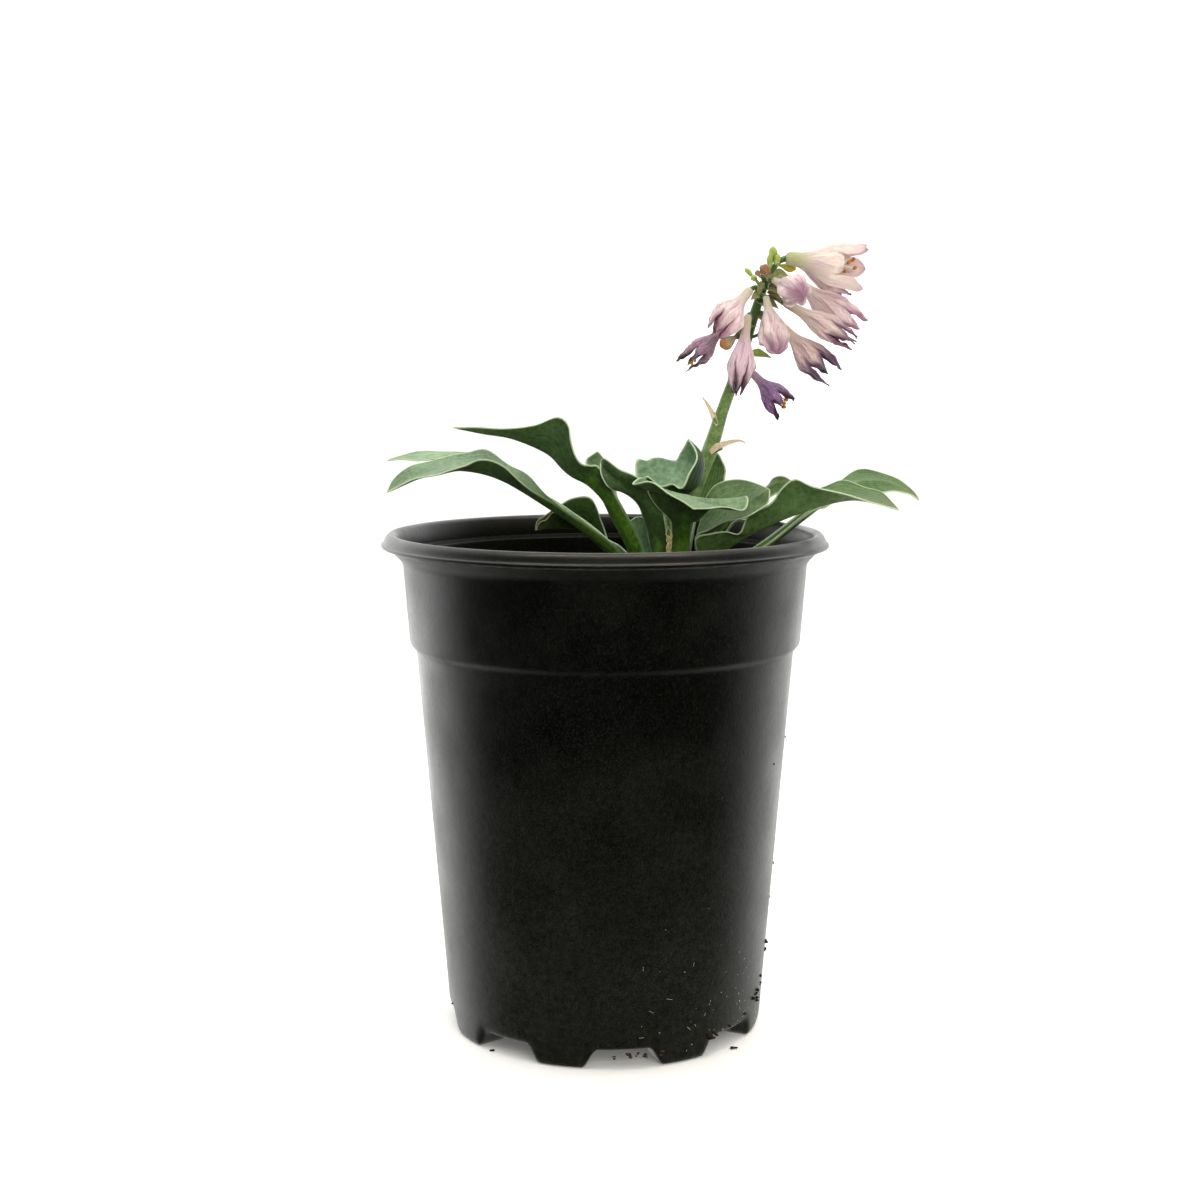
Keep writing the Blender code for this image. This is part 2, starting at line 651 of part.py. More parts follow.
def make_stem(group):
    """The flower stem with the short stalk of each flower fused to it."""
    helpers = new_collection("flower stalks", helper=True)
    knots = [Vector(row) for row in STEM]
    rows = spaced(knots, 0.0, len(knots) - 1.0, 16)
    stem = add_tube("flower_stem", [row.xyz for row in rows], [row.w for row in rows], 2, group)
    stem.hide_render = False
    stem.display_type = "TEXTURED"
    stem.data.materials.append(finish_of("flower stem"))
    for name, flower in FLOWERS.items():
        start, radius = stem_point(flower["joins"])
        end = Vector(flower["base"])
        ahead = (Vector(flower["mouth"]) - end).normalized()
        bend = start.lerp(end, 0.6) + Vector((0.0, 0.0, 0.8)) - ahead * 0.5
        tilt = ahead.cross((end - bend).normalized()).length
        end = end - ahead * (GAP + STALK_RADIUS * tilt)
        route = spaced([start, bend, end], 0.0, 2.0, 3)
        add_tube("stalk " + name, route, [STALK_RADIUS] * 4, 1, helpers)
    combine(stem, helpers, "UNION")
    stem.data.shade_smooth()
    return stem


# The flowers

# Each flower runs from the end of its stalk, `base`, to the middle of its mouth. `joins` is the
# height at which its stalk leaves the stem, and `radius` is the bell's. `spread` is how far the
# tips of the lobes stand from the axis, as a share of that radius.
FLOWERS = {
    "flower_01": dict(joins=279, base=(66.9, 10, 285.3), mouth=(95.9, 6, 281.6), radius=8.7, spread=1.13),
    "flower_02": dict(joins=275, base=(62.2, 6, 277), mouth=(71.3, -12, 271.2), radius=6.1, spread=0.0),
    "flower_03": dict(joins=277, base=(69.9, 15.5, 278.2), mouth=(94.8, 22, 259.7), radius=6.5, spread=1.05),
    "flower_04": dict(joins=271, base=(65.9, 8, 269.3), mouth=(92, 5, 254.4), radius=5.3, spread=0.9),
    "flower_05": dict(joins=266, base=(64.9, 13, 261.3), mouth=(84.4, 12, 241.8), radius=6.0, spread=1.0),
    "flower_06": dict(joins=270, base=(59, 4, 270.9), mouth=(62.8, -6, 250), radius=5.9, spread=0.0),
    "flower_07": dict(joins=273, base=(53.5, 7, 273.8), mouth=(39.5, 0, 257.9), radius=5.8, spread=0.55),
    "flower_08": dict(joins=258, base=(45.4, 12, 260.8), mouth=(30, 10, 246.1), radius=4.4, spread=0.85),
    "flower_09": dict(joins=262, base=(52.5, 3, 264.4), mouth=(48, -4, 235.5), radius=5.0, spread=0.5),
    "flower_10": dict(joins=248, base=(54.7, 9, 243.3), mouth=(67, 6, 230.3), radius=5.0, spread=1.0),
    "flower_11": dict(joins=280, base=(67.9, 20, 286.2), mouth=(94, 33, 277.4), radius=6.3, spread=1.0),
}
VIOLET = ("flower_08", "flower_10")

# Share of the flower's length, and share of the bell's radius there.
TUBE = ((0.0, 0.27), (0.22, 0.35), (0.42, 0.64), (0.62, 0.96))
BUD = ((0.0, 0.25), (0.25, 0.34), (0.5, 0.80), (0.7, 1.0), (0.87, 0.72), (0.97, 0.25))
# Share of the flower's length, and how much of its sixth of the mouth a lobe takes up there.
LOBE = ((0.76, 0.86), (0.89, 0.62), (1.0, 0.0))
SEAM_DENT = 0.06
LOBE_FLARE_POWER = 1.5
LOBE_MIDDLE = 1.06
LOBE_EDGE = 0.97


def ring(shape, height, radius, sides):
    """A ring of corners round the Z axis, drawn in a little between the lobes."""
    corners = []
    for i in range(sides):
        angle = 2 * math.pi * i / sides
        dent = 1.0 - SEAM_DENT * math.cos(LOBES * angle)
        corners.append(shape.verts.new(mm(
            radius * dent * math.cos(angle), radius * dent * math.sin(angle), height
        )))
    return corners


def bridge(shape, lower, upper):
    for i in range(len(lower)):
        j = (i + 1) % len(lower)
        shape.faces.new((lower[i], lower[j], upper[j]))
        shape.faces.new((lower[i], upper[j], upper[i]))


def build_bud(shape, length, radius):
    """A closed bud or pod: solid, with a groove between its lobes."""
    sides = LOBES * COLUMNS_PER_LOBE
    rings = [ring(shape, share * length, width * radius, sides) for share, width in BUD]
    bottom = shape.verts.new((0.0, 0.0, 0.0))
    tip = shape.verts.new(mm(0, 0, length))
    for lower, upper in zip(rings, rings[1:]):
        bridge(shape, lower, upper)
    for i in range(sides):
        j = (i + 1) % sides
        shape.faces.new((bottom, rings[0][j], rings[0][i]))
        shape.faces.new((rings[-1][i], rings[-1][j], tip))


def build_bell(shape, length, radius, spread):
    """An open bell: a tube that widens and parts into six pointed lobes."""
    sides = LOBES * COLUMNS_PER_LOBE
    rings = [ring(shape, share * length, width * radius, sides) for share, width in TUBE]
    bottom = shape.verts.new((0.0, 0.0, 0.0))
    for lower, upper in zip(rings, rings[1:]):
        bridge(shape, lower, upper)
    for i in range(sides):
        shape.faces.new((bottom, rings[0][(i + 1) % sides], rings[0][i]))
    for lobe in range(LOBES):
        first = lobe * COLUMNS_PER_LOBE
        row = [rings[-1][(first + i) % sides] for i in range(COLUMNS_PER_LOBE + 1)]
        middle = 2 * math.pi * (first + COLUMNS_PER_LOBE / 2) / sides
        for step, (share, width) in enumerate(LOBE):
            out = radius * (1.0 + (spread - 1.0) * ((step + 1) / len(LOBE)) ** LOBE_FLARE_POWER)
            reach = math.pi / LOBES * width
            if not width:
                tip = shape.verts.new(mm(out * math.cos(middle), out * math.sin(middle), share * length))
                for a, b in zip(row, row[1:]):
                    shape.faces.new((a, b, tip))
                continue
            following = []
            for i in range(COLUMNS_PER_LOBE + 1):
                angle = middle + reach * (2 * i / COLUMNS_PER_LOBE - 1)
                hollow = LOBE_MIDDLE if i == COLUMNS_PER_LOBE / 2 else LOBE_EDGE
                following.append(shape.verts.new(mm(
                    out * hollow * math.cos(angle), out * hollow * math.sin(angle), share * length
                )))
            for a, b, c, d in zip(row, row[1:], following[1:], following):
                shape.faces.new((a, b, c))
                shape.faces.new((a, c, d))
            row = following


def aim(thing, base, tip):
    """Stands an object that was modelled along +Z on its base, pointing at the tip."""
    thing.location = Vector(base) * MM
    thing.rotation_mode = "QUATERNION"
    thing.rotation_quaternion = (Vector(tip) - Vector(base)).to_track_quat("Z", "Y")


def make_flower(name, flower, group):
    length = (Vector(flower["mouth"]) - Vector(flower["base"])).length
    radius = flower["radius"]
    spread = flower["spread"]
    finish = "violet petal" if name in VIOLET else "pink petal"
    if spread:
        mesh = mesh_of(name, lambda shape: build_bell(shape, length, radius, spread))
    else:
        mesh = mesh_of(name, lambda shape: build_bud(shape, length, radius))
    thing = add_object(name, mesh, group, finish)
    aim(thing, flower["base"], flower["mouth"])
    if spread:
        shell = thing.modifiers.new("petal", "SOLIDIFY")
        shell.thickness = PETAL_THICK * MM
        shell.offset = -1.0
    mesh.shade_smooth()
    return thing


# Buds, pods and bracts on the stem: start, end, half width, half depth and finish.
BUDS = {
    "top_bud": ((61.6, 12.3, 282.6), (62.3, 11, 289.8), 1.7, 1.7, "green bract"),
    "pod_left": ((49.5, 8, 257.3), (42.5, 6, 252.8), 2.7, 2.7, "young pod"),
    "pod_right": ((56.5, 6.5, 257.8), (59.5, 4, 253.4), 2.0, 2.0, "young pod"),
    "bud_brown": ((57.5, 7, 278.3), (58.8, 4.5, 282.9), 1.9, 1.9, "dry bract"),
    "bract_yellow": ((63.5, 12.5, 283.1), (70.9, 12.5, 281.5), 1.8, 1.1, "green bract"),
    "bract_green": ((56.7, 14, 276.7), (51.9, 15, 282.2), 0.9, 1.7, "green bract"),
    "bract_low": ((54.1, 9.2, 250.1), (61.4, 5, 249), 1.6, 1.1, "green bract"),
    "bract_left": ((41, 9.5, 225.8), (37, 8, 233.8), 1.6, 0.6, "dry bract"),
    "bract_right": ((43.2, 11, 215.2), (52.3, 9, 217.9), 2.0, 0.9, "dry bract"),
}


def make_bud(name, row, group):
    base, tip, half_width, half_depth, finish = row
    length = (Vector(tip) - Vector(base)).length

    def build(shape):
        build_bud(shape, length, half_width)
        bmesh.ops.scale(shape, vec=(1.0, half_depth / half_width, 1.0), verts=shape.verts)

    thing = add_object(name, mesh_of(name, build), group, finish)
    aim(thing, base, tip)
    thing.data.shade_smooth()
    return thing


def make_model():
    clear_scene()
    group = new_collection("potted hosta")
    parts = [make_pot(group)]
    stems = [leaf["rib"][0] for leaf in LEAVES.values()]
    stems.append(STEM[0][:2])
    parts.append(make_soil(group, stems))
    for name, leaf in LEAVES.items():
        finish = "dry bract" if name == "dry_sheath" else "hosta leaf"
        parts.append(add_leaf(name, leaf, group, finish))
    parts.append(make_stem(group))
    for name, flower in FLOWERS.items():
        parts.append(make_flower(name, flower, group))
    for name, row in BUDS.items():
        parts.append(make_bud(name, row, group))
    return group, parts


def centre_model(group, parts):
    """Moves the whole model by one empty, so that the origin lies under its bounding box."""
    bpy.context.view_layer.update()
    graph = bpy.context.evaluated_depsgraph_get()
    corners = []
    for part in parts:
        shaped = part.evaluated_get(graph)
        corners += [part.matrix_world @ vertex.co for vertex in shaped.to_mesh().vertices]
        shaped.to_mesh_clear()
    holder = bpy.data.objects.new("potted hosta", None)
    group.objects.link(holder)
    for part in parts:
        part.parent = holder
    for axis in range(2):
        low = min(corner[axis] for corner in corners)
        high = max(corner[axis] for corner in corners)
        holder.location[axis] = -(low + high) / 2


group, parts = make_model()
centre_model(group, parts)
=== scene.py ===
"""Looks of a small hosta in bloom in a black nursery pot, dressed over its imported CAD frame.

Sizes in the tables are in millimetres round the pot's axis, as the CAD source has them, and `world`
moves them to metres in the frame.
"""

import math

import bpy
import numpy as np
from mathutils import Matrix, Vector, noise

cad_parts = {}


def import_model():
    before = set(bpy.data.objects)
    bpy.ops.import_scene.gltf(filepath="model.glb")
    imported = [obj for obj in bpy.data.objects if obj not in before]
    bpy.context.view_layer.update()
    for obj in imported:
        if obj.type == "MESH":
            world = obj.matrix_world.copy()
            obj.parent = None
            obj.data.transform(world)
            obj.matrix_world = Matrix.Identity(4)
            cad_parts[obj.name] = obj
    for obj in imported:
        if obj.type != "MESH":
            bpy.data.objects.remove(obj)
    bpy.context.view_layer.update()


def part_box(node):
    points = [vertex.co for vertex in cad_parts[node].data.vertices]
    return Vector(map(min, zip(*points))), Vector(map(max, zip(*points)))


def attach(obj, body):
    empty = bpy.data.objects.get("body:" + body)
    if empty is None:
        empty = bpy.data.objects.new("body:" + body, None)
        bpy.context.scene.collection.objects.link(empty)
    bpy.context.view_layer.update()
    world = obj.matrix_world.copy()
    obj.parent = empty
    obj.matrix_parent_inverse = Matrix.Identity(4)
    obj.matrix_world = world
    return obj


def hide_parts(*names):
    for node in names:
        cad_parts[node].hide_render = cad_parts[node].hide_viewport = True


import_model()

# Blender's vector noise starts from the clock unless it is given a seed.
NOISE_SEED = 1
noise.seed_set(NOISE_SEED)

MM = 0.001
pot_low, pot_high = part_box("pot")
AXIS = Vector(((pot_low.x + pot_high.x) / 2, (pot_low.y + pot_high.y) / 2, 0.0))
RIM_HEIGHT = pot_high.z / MM
RIM_RADIUS = (pot_high.x - pot_low.x) / 2 / MM


# Materials


def linear(code, alpha=1.0):
    """An sRGB hex colour as the linear colour that a shader takes."""
    parts = [int(code[i:i + 2], 16) / 255 for i in (1, 3, 5)]
    return (*[p / 12.92 if p <= 0.04045 else ((p + 0.055) / 1.055) ** 2.4 for p in parts], alpha)


def per_mm(size):
    """The texture scale that gives a pattern this size in millimetres."""
    return 1000.0 / size


def add(tree, kind, sockets=None, out=0, **settings):
    """Adds a node with its settings, links or sets its sockets, and returns one of its outputs."""
    made = tree.nodes.new(kind)
    for key, value in settings.items():
        setattr(made, key, value)
    for key, value in (sockets or {}).items():
        if isinstance(value, bpy.types.NodeSocket):
            tree.links.new(value, made.inputs[key])
        else:
            made.inputs[key].default_value = value
    return made.outputs[out]


def new_finish(name, **constants):
    """An empty material, its node tree and its shader with the values that are the same all over."""
    finish = bpy.data.materials.new(name)
    finish.use_nodes = True
    tree = finish.node_tree
    shader = tree.nodes["Principled BSDF"]
    for key, value in constants.items():
        shader.inputs[key.replace("_", " ")].default_value = value
    return finish, tree, shader


def black_polypropylene():
    """Injection-moulded polypropylene, black with recycled pigment: satin, with a fine moulded
    grain, a film of dry compost dust that is thickest low down, and pale mineral specks."""
    finish, tree, shader = new_finish("black polypropylene", Metallic=0.0, IOR=1.49,
                                      Sheen_Roughness=0.35, Sheen_Tint=linear("#cfd8c4"))
    spot = add(tree, "ShaderNodeTexCoord", out="Object")
    up = add(tree, "ShaderNodeSeparateXYZ", {0: spot}, out="Z")
    side = add(tree, "ShaderNodeSeparateXYZ", {0: spot}, out="X")
    cloud = add(tree, "ShaderNodeTexNoise", {"Vector": spot, "Scale": per_mm(26), "Detail": 6.0})
    fine = add(tree, "ShaderNodeTexNoise", {"Vector": spot, "Scale": per_mm(2.2), "Detail": 3.0})
    low = add(tree, "ShaderNodeMapRange", {0: up, 1: 0.12, 2: 0.0, 3: 0.0, 4: 1.0})
    film = add(tree, "ShaderNodeMapRange", {0: cloud, 1: 0.42, 2: 0.75, 3: 0.0, 4: 1.0})
    film = add(tree, "ShaderNodeMath", {0: film, 1: 0.08}, operation="MULTIPLY")
    film = add(tree, "ShaderNodeMath", {0: low, 1: 0.22, 2: film}, operation="MULTIPLY_ADD")
    film = add(tree, "ShaderNodeMath", {0: film, 1: fine}, operation="MULTIPLY", use_clamp=True)
    # Moulded grain of about 0.3 mm, drawn at twice that so that it shows.
    speck = add(tree, "ShaderNodeTexNoise", {"Vector": spot, "Scale": per_mm(0.6), "Detail": 2.0})
    speck = add(tree, "ShaderNodeMapRange", {0: speck, 1: 0.5, 2: 0.8, 3: 0.0, 4: 0.14})
    film = add(tree, "ShaderNodeMath", {0: film, 1: speck}, operation="ADD", use_clamp=True)
    # Dust stands off the skin, so it shows most where the wall turns away.
    dust = add(tree, "ShaderNodeMapRange", {0: fine, 1: 0.35, 2: 0.65, 3: 0.05, 4: 0.22})
    tree.links.new(dust, shader.inputs["Sheen Weight"])
    body = add(tree, "ShaderNodeMix", {0: film, 6: linear("#030402"), 7: linear("#4a4940")},
               out=2, data_type="RGBA")
    right = add(tree, "ShaderNodeMapRange", {0: side, 1: -0.02, 2: 0.035, 3: 0.0, 4: 1.0})
    near = add(tree, "ShaderNodeMapRange", {0: up, 1: 0.06, 2: 0.0, 3: 0.02, 4: 1.0})
    where = add(tree, "ShaderNodeMath", {0: right, 1: near}, operation="MULTIPLY")
    cell = add(tree, "ShaderNodeTexVoronoi", {"Vector": spot, "Scale": per_mm(2.2)})
    pick = add(tree, "ShaderNodeTexVoronoi", {"Vector": spot, "Scale": per_mm(2.2)}, out="Color")
    pick = add(tree, "ShaderNodeSeparateColor", {0: pick})
    chosen = add(tree, "ShaderNodeMath", {0: pick, 1: where}, operation="LESS_THAN")
    size = add(tree, "ShaderNodeMath", {0: pick, 1: 0.14, 2: 0.05}, operation="MULTIPLY_ADD")
    grit = add(tree, "ShaderNodeMath", {0: cell, 1: size}, operation="LESS_THAN")
    grit = add(tree, "ShaderNodeMath", {0: grit, 1: chosen}, operation="MULTIPLY")
    colour = add(tree, "ShaderNodeMix", {0: grit, 6: body, 7: linear("#a9a796")},
                 out=2, data_type="RGBA")
    tree.links.new(colour, shader.inputs["Base Color"])
    rough = add(tree, "ShaderNodeMapRange", {0: cloud, 1: 0.3, 2: 0.7, 3: 0.28, 4: 0.42})
    rough = add(tree, "ShaderNodeMath", {0: film, 1: 0.35, 2: rough}, operation="MULTIPLY_ADD")
    tree.links.new(rough, shader.inputs["Roughness"])
    # The inside is dull with dried compost.
    inside = add(tree, "ShaderNodeAttribute", out="Fac", attribute_name="inside")
    gloss = add(tree, "ShaderNodeMapRange", {0: inside, 1: 0.0, 2: 1.0, 3: 0.5, 4: 0.12})
    tree.links.new(gloss, shader.inputs["Specular IOR Level"])
    grain = add(tree, "ShaderNodeTexNoise", {"Vector": spot, "Scale": per_mm(0.9), "Detail": 4.0})
    bump = add(tree, "ShaderNodeBump", {"Strength": 0.6, "Distance": 0.0001, "Height": grain})
    wave = add(tree, "ShaderNodeBump", {"Strength": 0.5, "Distance": 0.0006, "Height": cloud,
                                        "Normal": bump})
    tree.links.new(wave, shader.inputs["Normal"])
    return finish


def hosta_leaf():
    """A hosta leaf: thick, with a pale wax that dulls and blues its upper side, sunken veins that
    run from stalk to tip, an underside painted a much darker green than its own, as painted
    shade, and a thin translucent margin that looks pale."""
    finish, tree, shader = new_finish("waxy hosta leaf", IOR=1.42, Specular_IOR_Level=0.35,
                                      Sheen_Weight=0.05, Sheen_Roughness=0.5)
    spot = add(tree, "ShaderNodeTexCoord", out="Object")
    across = add(tree, "ShaderNodeAttribute", out="Fac", attribute_name="across")
    along = add(tree, "ShaderNodeAttribute", out="Fac", attribute_name="along")
    edge = add(tree, "ShaderNodeAttribute", out="Fac", attribute_name="edge_mm")
    upper = add(tree, "ShaderNodeAttribute", out="Fac", attribute_name="upper")
    spread = add(tree, "ShaderNodeMath", {0: across}, operation="ABSOLUTE")
    # Seven pairs of veins, each drawn twice as broad as a real one so that it shows.
    vein = add(tree, "ShaderNodeMath", {0: spread, 1: VEIN_PITCH / 2}, operation="PINGPONG")
    vein = add(tree, "ShaderNodeMapRange", {0: vein, 1: 0.0, 2: 0.028, 3: 1.0, 4: 0.0},
               interpolation_type="SMOOTHSTEP")
    cloud = add(tree, "ShaderNodeTexNoise", {"Vector": spot, "Scale": per_mm(14), "Detail": 5.0})
    mottle = add(tree, "ShaderNodeTexNoise", {"Vector": spot, "Scale": per_mm(1.6), "Detail": 4.0})
    tone = add(tree, "ShaderNodeMath", {0: mottle, 1: 0.9, 2: cloud}, operation="MULTIPLY_ADD")
    tone = add(tree, "ShaderNodeMapRange", {0: tone, 1: 0.68, 2: 1.22, 3: 0.0, 4: 1.0})
    wax_wear_and_underside_light = add(tree, "ShaderNodeAttribute", out="Fac", attribute_name="wax_wear_and_underside_light")
    bloom = add(tree, "ShaderNodeMix", {0: tone, 6: linear("#587659"), 7: linear("#93ae8c")},
                out=2, data_type="RGBA")
    worn = add(tree, "ShaderNodeMix", {0: tone, 6: linear("#304e1b"), 7: linear("#5a7838")},
               out=2, data_type="RGBA")
    wax = add(tree, "ShaderNodeMix", {0: wax_wear_and_underside_light, 6: bloom, 7: worn}, out=2, data_type="RGBA")
    # The underside is painted a much darker green than the leaf's own, as painted shade under the blade, and
    # the wax-wear number lightens it, as painted light.
    deep = add(tree, "ShaderNodeMix", {0: wax_wear_and_underside_light, 6: linear("#16290e"), 7: linear("#2f4a20")},
               out=2, data_type="RGBA")
    mild = add(tree, "ShaderNodeMix", {0: wax_wear_and_underside_light, 6: linear("#324a24"), 7: linear("#5a7640")},
               out=2, data_type="RGBA")
    veined = add(tree, "ShaderNodeMath", {0: vein, 1: 0.22}, operation="MULTIPLY")
    wax = add(tree, "ShaderNodeMix", {0: veined, 6: wax, 7: linear("#8fa87c")},
              out=2, data_type="RGBA")
    below = add(tree, "ShaderNodeMix", {0: tone, 6: deep, 7: mild}, out=2, data_type="RGBA")
    below = add(tree, "ShaderNodeMix", {0: veined, 6: below, 7: linear("#4a6437")},
                out=2, data_type="RGBA")
    skin = add(tree, "ShaderNodeMix", {0: upper, 6: below, 7: wax}, out=2, data_type="RGBA")
    # The stalk's clear green runs out along the rib.
    stalk = add(tree, "ShaderNodeAttribute", out="Fac", attribute_name="green")
    fresh = add(tree, "ShaderNodeMix", {0: tone, 6: linear("#264508"), 7: linear("#547b24")},
                out=2, data_type="RGBA")
    skin = add(tree, "ShaderNodeMix", {0: stalk, 6: skin, 7: fresh}, out=2, data_type="RGBA")
    brown = add(tree, "ShaderNodeMapRange", {0: along, 1: 0.86, 2: 1.0, 3: 0.0, 4: 0.55})
    brown = add(tree, "ShaderNodeMath", {0: brown, 1: wax_wear_and_underside_light}, operation="MULTIPLY")
    skin = add(tree, "ShaderNodeMix", {0: brown, 6: skin, 7: linear("#7d6f52")},
               out=2, data_type="RGBA")
    # Each leaf is painted darker by its own share, as painted shade.
    painted_shade = add(tree, "ShaderNodeAttribute", out="Fac", attribute_name="painted_shade")
    skin = add(tree, "ShaderNodeMix", {0: painted_shade, 6: skin, 7: linear("#0a0d06")},
               out=2, data_type="RGBA")
    margin = add(tree, "ShaderNodeMapRange", {0: edge, 1: 0.12, 2: 0.5, 3: 0.8, 4: 0.0},
                 interpolation_type="SMOOTHSTEP")
    blade = add(tree, "ShaderNodeMath", {0: stalk, 1: -0.85, 2: 1.0}, operation="MULTIPLY_ADD")
    margin = add(tree, "ShaderNodeMath", {0: margin, 1: blade}, operation="MULTIPLY")
    skin = add(tree, "ShaderNodeMix", {0: margin, 6: skin, 7: linear("#b6c8a2")},
               out=2, data_type="RGBA")
    tree.links.new(skin, shader.inputs["Base Color"])
    rough = add(tree, "ShaderNodeMapRange", {0: upper, 1: 0.0, 2: 1.0, 3: 0.40, 4: 0.55})
    rough = add(tree, "ShaderNodeMath", {0: mottle, 1: 0.12, 2: rough}, operation="MULTIPLY_ADD")
    tree.links.new(rough, shader.inputs["Roughness"])
    relief = add(tree, "ShaderNodeMath", {0: vein, 1: -0.6, 2: mottle}, operation="MULTIPLY_ADD")
    bump = add(tree, "ShaderNodeBump", {"Strength": 0.35, "Distance": 0.00025, "Height": relief})
    tree.links.new(bump, shader.inputs["Normal"])
    return finish


def petal(name, throat, body, streak, tip, tip_from, seam_shade_strength):
    """A hosta petal: thin, soft and faintly glittering, cream where it leaves its stalk, with
    lilac streaks that run its length, and its dark tip colour painted along the seam where two
    lobes meet, as painted shade in the slit between them."""
    finish, tree, shader = new_finish(name, IOR=1.40, Roughness=0.48, Sheen_Weight=0.2,
                                      Sheen_Roughness=0.4, Subsurface_Weight=0.12,
                                      Subsurface_Scale=0.001)
    around = add(tree, "ShaderNodeAttribute", out="Fac", attribute_name="around")
    along = add(tree, "ShaderNodeAttribute", out="Fac", attribute_name="along")
    seam = add(tree, "ShaderNodeAttribute", out="Fac", attribute_name="seam")
    drift = add(tree, "ShaderNodeMath", {0: along, 1: 0.7}, operation="MULTIPLY")
    lane = add(tree, "ShaderNodeCombineXYZ", {0: around, 1: drift, 2: 0.0})
    line = add(tree, "ShaderNodeTexNoise", {"Vector": lane, "Scale": 5.0, "Detail": 6.0,
                                            "Roughness": 0.68})
    thread = add(tree, "ShaderNodeTexNoise", {"Vector": lane, "Scale": 16.0, "Detail": 3.0})
    blot = add(tree, "ShaderNodeTexNoise", {"Vector": lane, "Scale": 1.3, "Detail": 3.0})
    open_share = add(tree, "ShaderNodeMapRange", {0: along, 1: 0.08, 2: 0.42, 3: 0.0, 4: 1.0},
                     interpolation_type="SMOOTHSTEP")
    colour = add(tree, "ShaderNodeMix", {0: open_share, 6: linear(throat), 7: linear(body)},
                 out=2, data_type="RGBA")
    paler = add(tree, "ShaderNodeMapRange", {0: thread, 1: 0.52, 2: 0.7, 3: 0.0, 4: 0.5},
                interpolation_type="SMOOTHSTEP")
    colour = add(tree, "ShaderNodeMix", {0: paler, 6: colour, 7: linear("#ddd0c3")},
                 out=2, data_type="RGBA")
    streaky = add(tree, "ShaderNodeMapRange", {0: line, 1: 0.46, 2: 0.62, 3: 0.0, 4: 0.85},
                  interpolation_type="SMOOTHSTEP")
    starts = add(tree, "ShaderNodeMath", {0: open_share, 1: 0.8, 2: 0.2}, operation="MULTIPLY_ADD")
    streaky = add(tree, "ShaderNodeMath", {0: streaky, 1: starts}, operation="MULTIPLY")
    colour = add(tree, "ShaderNodeMix", {0: streaky, 6: colour, 7: linear(streak)},
                 out=2, data_type="RGBA")
    reach = add(tree, "ShaderNodeMath", {0: blot, 1: 0.5, 2: along}, operation="MULTIPLY_ADD")
    reach = add(tree, "ShaderNodeMath", {0: seam, 1: 0.12, 2: reach}, operation="MULTIPLY_ADD")
    tipped = add(tree, "ShaderNodeMapRange",
                 {0: reach, 1: tip_from + 0.25, 2: tip_from + 0.55, 3: 0.0, 4: 1.0},
                 interpolation_type="SMOOTHSTEP")
    colour = add(tree, "ShaderNodeMix", {0: tipped, 6: colour, 7: linear(tip)},
                 out=2, data_type="RGBA")
    # Along the seam where two lobes meet, more strongly towards the tips, the petal is painted in its dark
    # tip colour: painted shade in the slit between the lobes.
    painted_seam_shade = add(tree, "ShaderNodeMapRange", {0: seam, 1: 0.72, 2: 1.0, 3: 0.0, 4: seam_shade_strength},
                 interpolation_type="SMOOTHSTEP")
    deep = add(tree, "ShaderNodeMapRange", {0: along, 1: 0.4, 2: 0.8, 3: 0.15, 4: 1.0},
               interpolation_type="SMOOTHSTEP")
    painted_seam_shade = add(tree, "ShaderNodeMath", {0: painted_seam_shade, 1: deep}, operation="MULTIPLY")
    colour = add(tree, "ShaderNodeMix", {0: painted_seam_shade, 6: colour, 7: linear(tip)},
                 out=2, data_type="RGBA")
    tree.links.new(colour, shader.inputs["Base Color"])
    relief = add(tree, "ShaderNodeMath", {0: thread, 1: 0.5, 2: line}, operation="MULTIPLY_ADD")
    bump = add(tree, "ShaderNodeBump", {"Strength": 0.9, "Distance": 0.0012, "Height": relief})
    tree.links.new(bump, shader.inputs["Normal"])
    return finish


def two_tone(name, dark, light, tail, grain_mm, roughness):
    """Skin of a stem, bud, pod or dry bract: two tones mottled together, turning towards a third
    at the end away from the stem, with a fine grain."""
    finish, tree, shader = new_finish(name, IOR=1.42, Roughness=roughness)
    spot = add(tree, "ShaderNodeTexCoord", out="Object")
    along = add(tree, "ShaderNodeAttribute", out="Fac", attribute_name="along")
    cloud = add(tree, "ShaderNodeTexNoise", {"Vector": spot, "Scale": per_mm(grain_mm * 4),
                                             "Detail": 4.0})
    grain = add(tree, "ShaderNodeTexNoise", {"Vector": spot, "Scale": per_mm(grain_mm),
                                             "Detail": 3.0})
    tone = add(tree, "ShaderNodeMath", {0: grain, 1: cloud}, operation="ADD")
    tone = add(tree, "ShaderNodeMapRange", {0: tone, 1: 0.75, 2: 1.25, 3: 0.0, 4: 1.0})
    colour = add(tree, "ShaderNodeMix", {0: tone, 6: linear(dark), 7: linear(light)},
                 out=2, data_type="RGBA")
    late = add(tree, "ShaderNodeMapRange", {0: along, 1: 0.35, 2: 0.85, 3: 0.0, 4: 0.8},
               interpolation_type="SMOOTHSTEP")
    colour = add(tree, "ShaderNodeMix", {0: late, 6: colour, 7: linear(tail)},
                 out=2, data_type="RGBA")
    tree.links.new(colour, shader.inputs["Base Color"])
    bump = add(tree, "ShaderNodeBump", {"Strength": 0.3, "Distance": 0.0002, "Height": grain})
    tree.links.new(bump, shader.inputs["Normal"])
    return finish


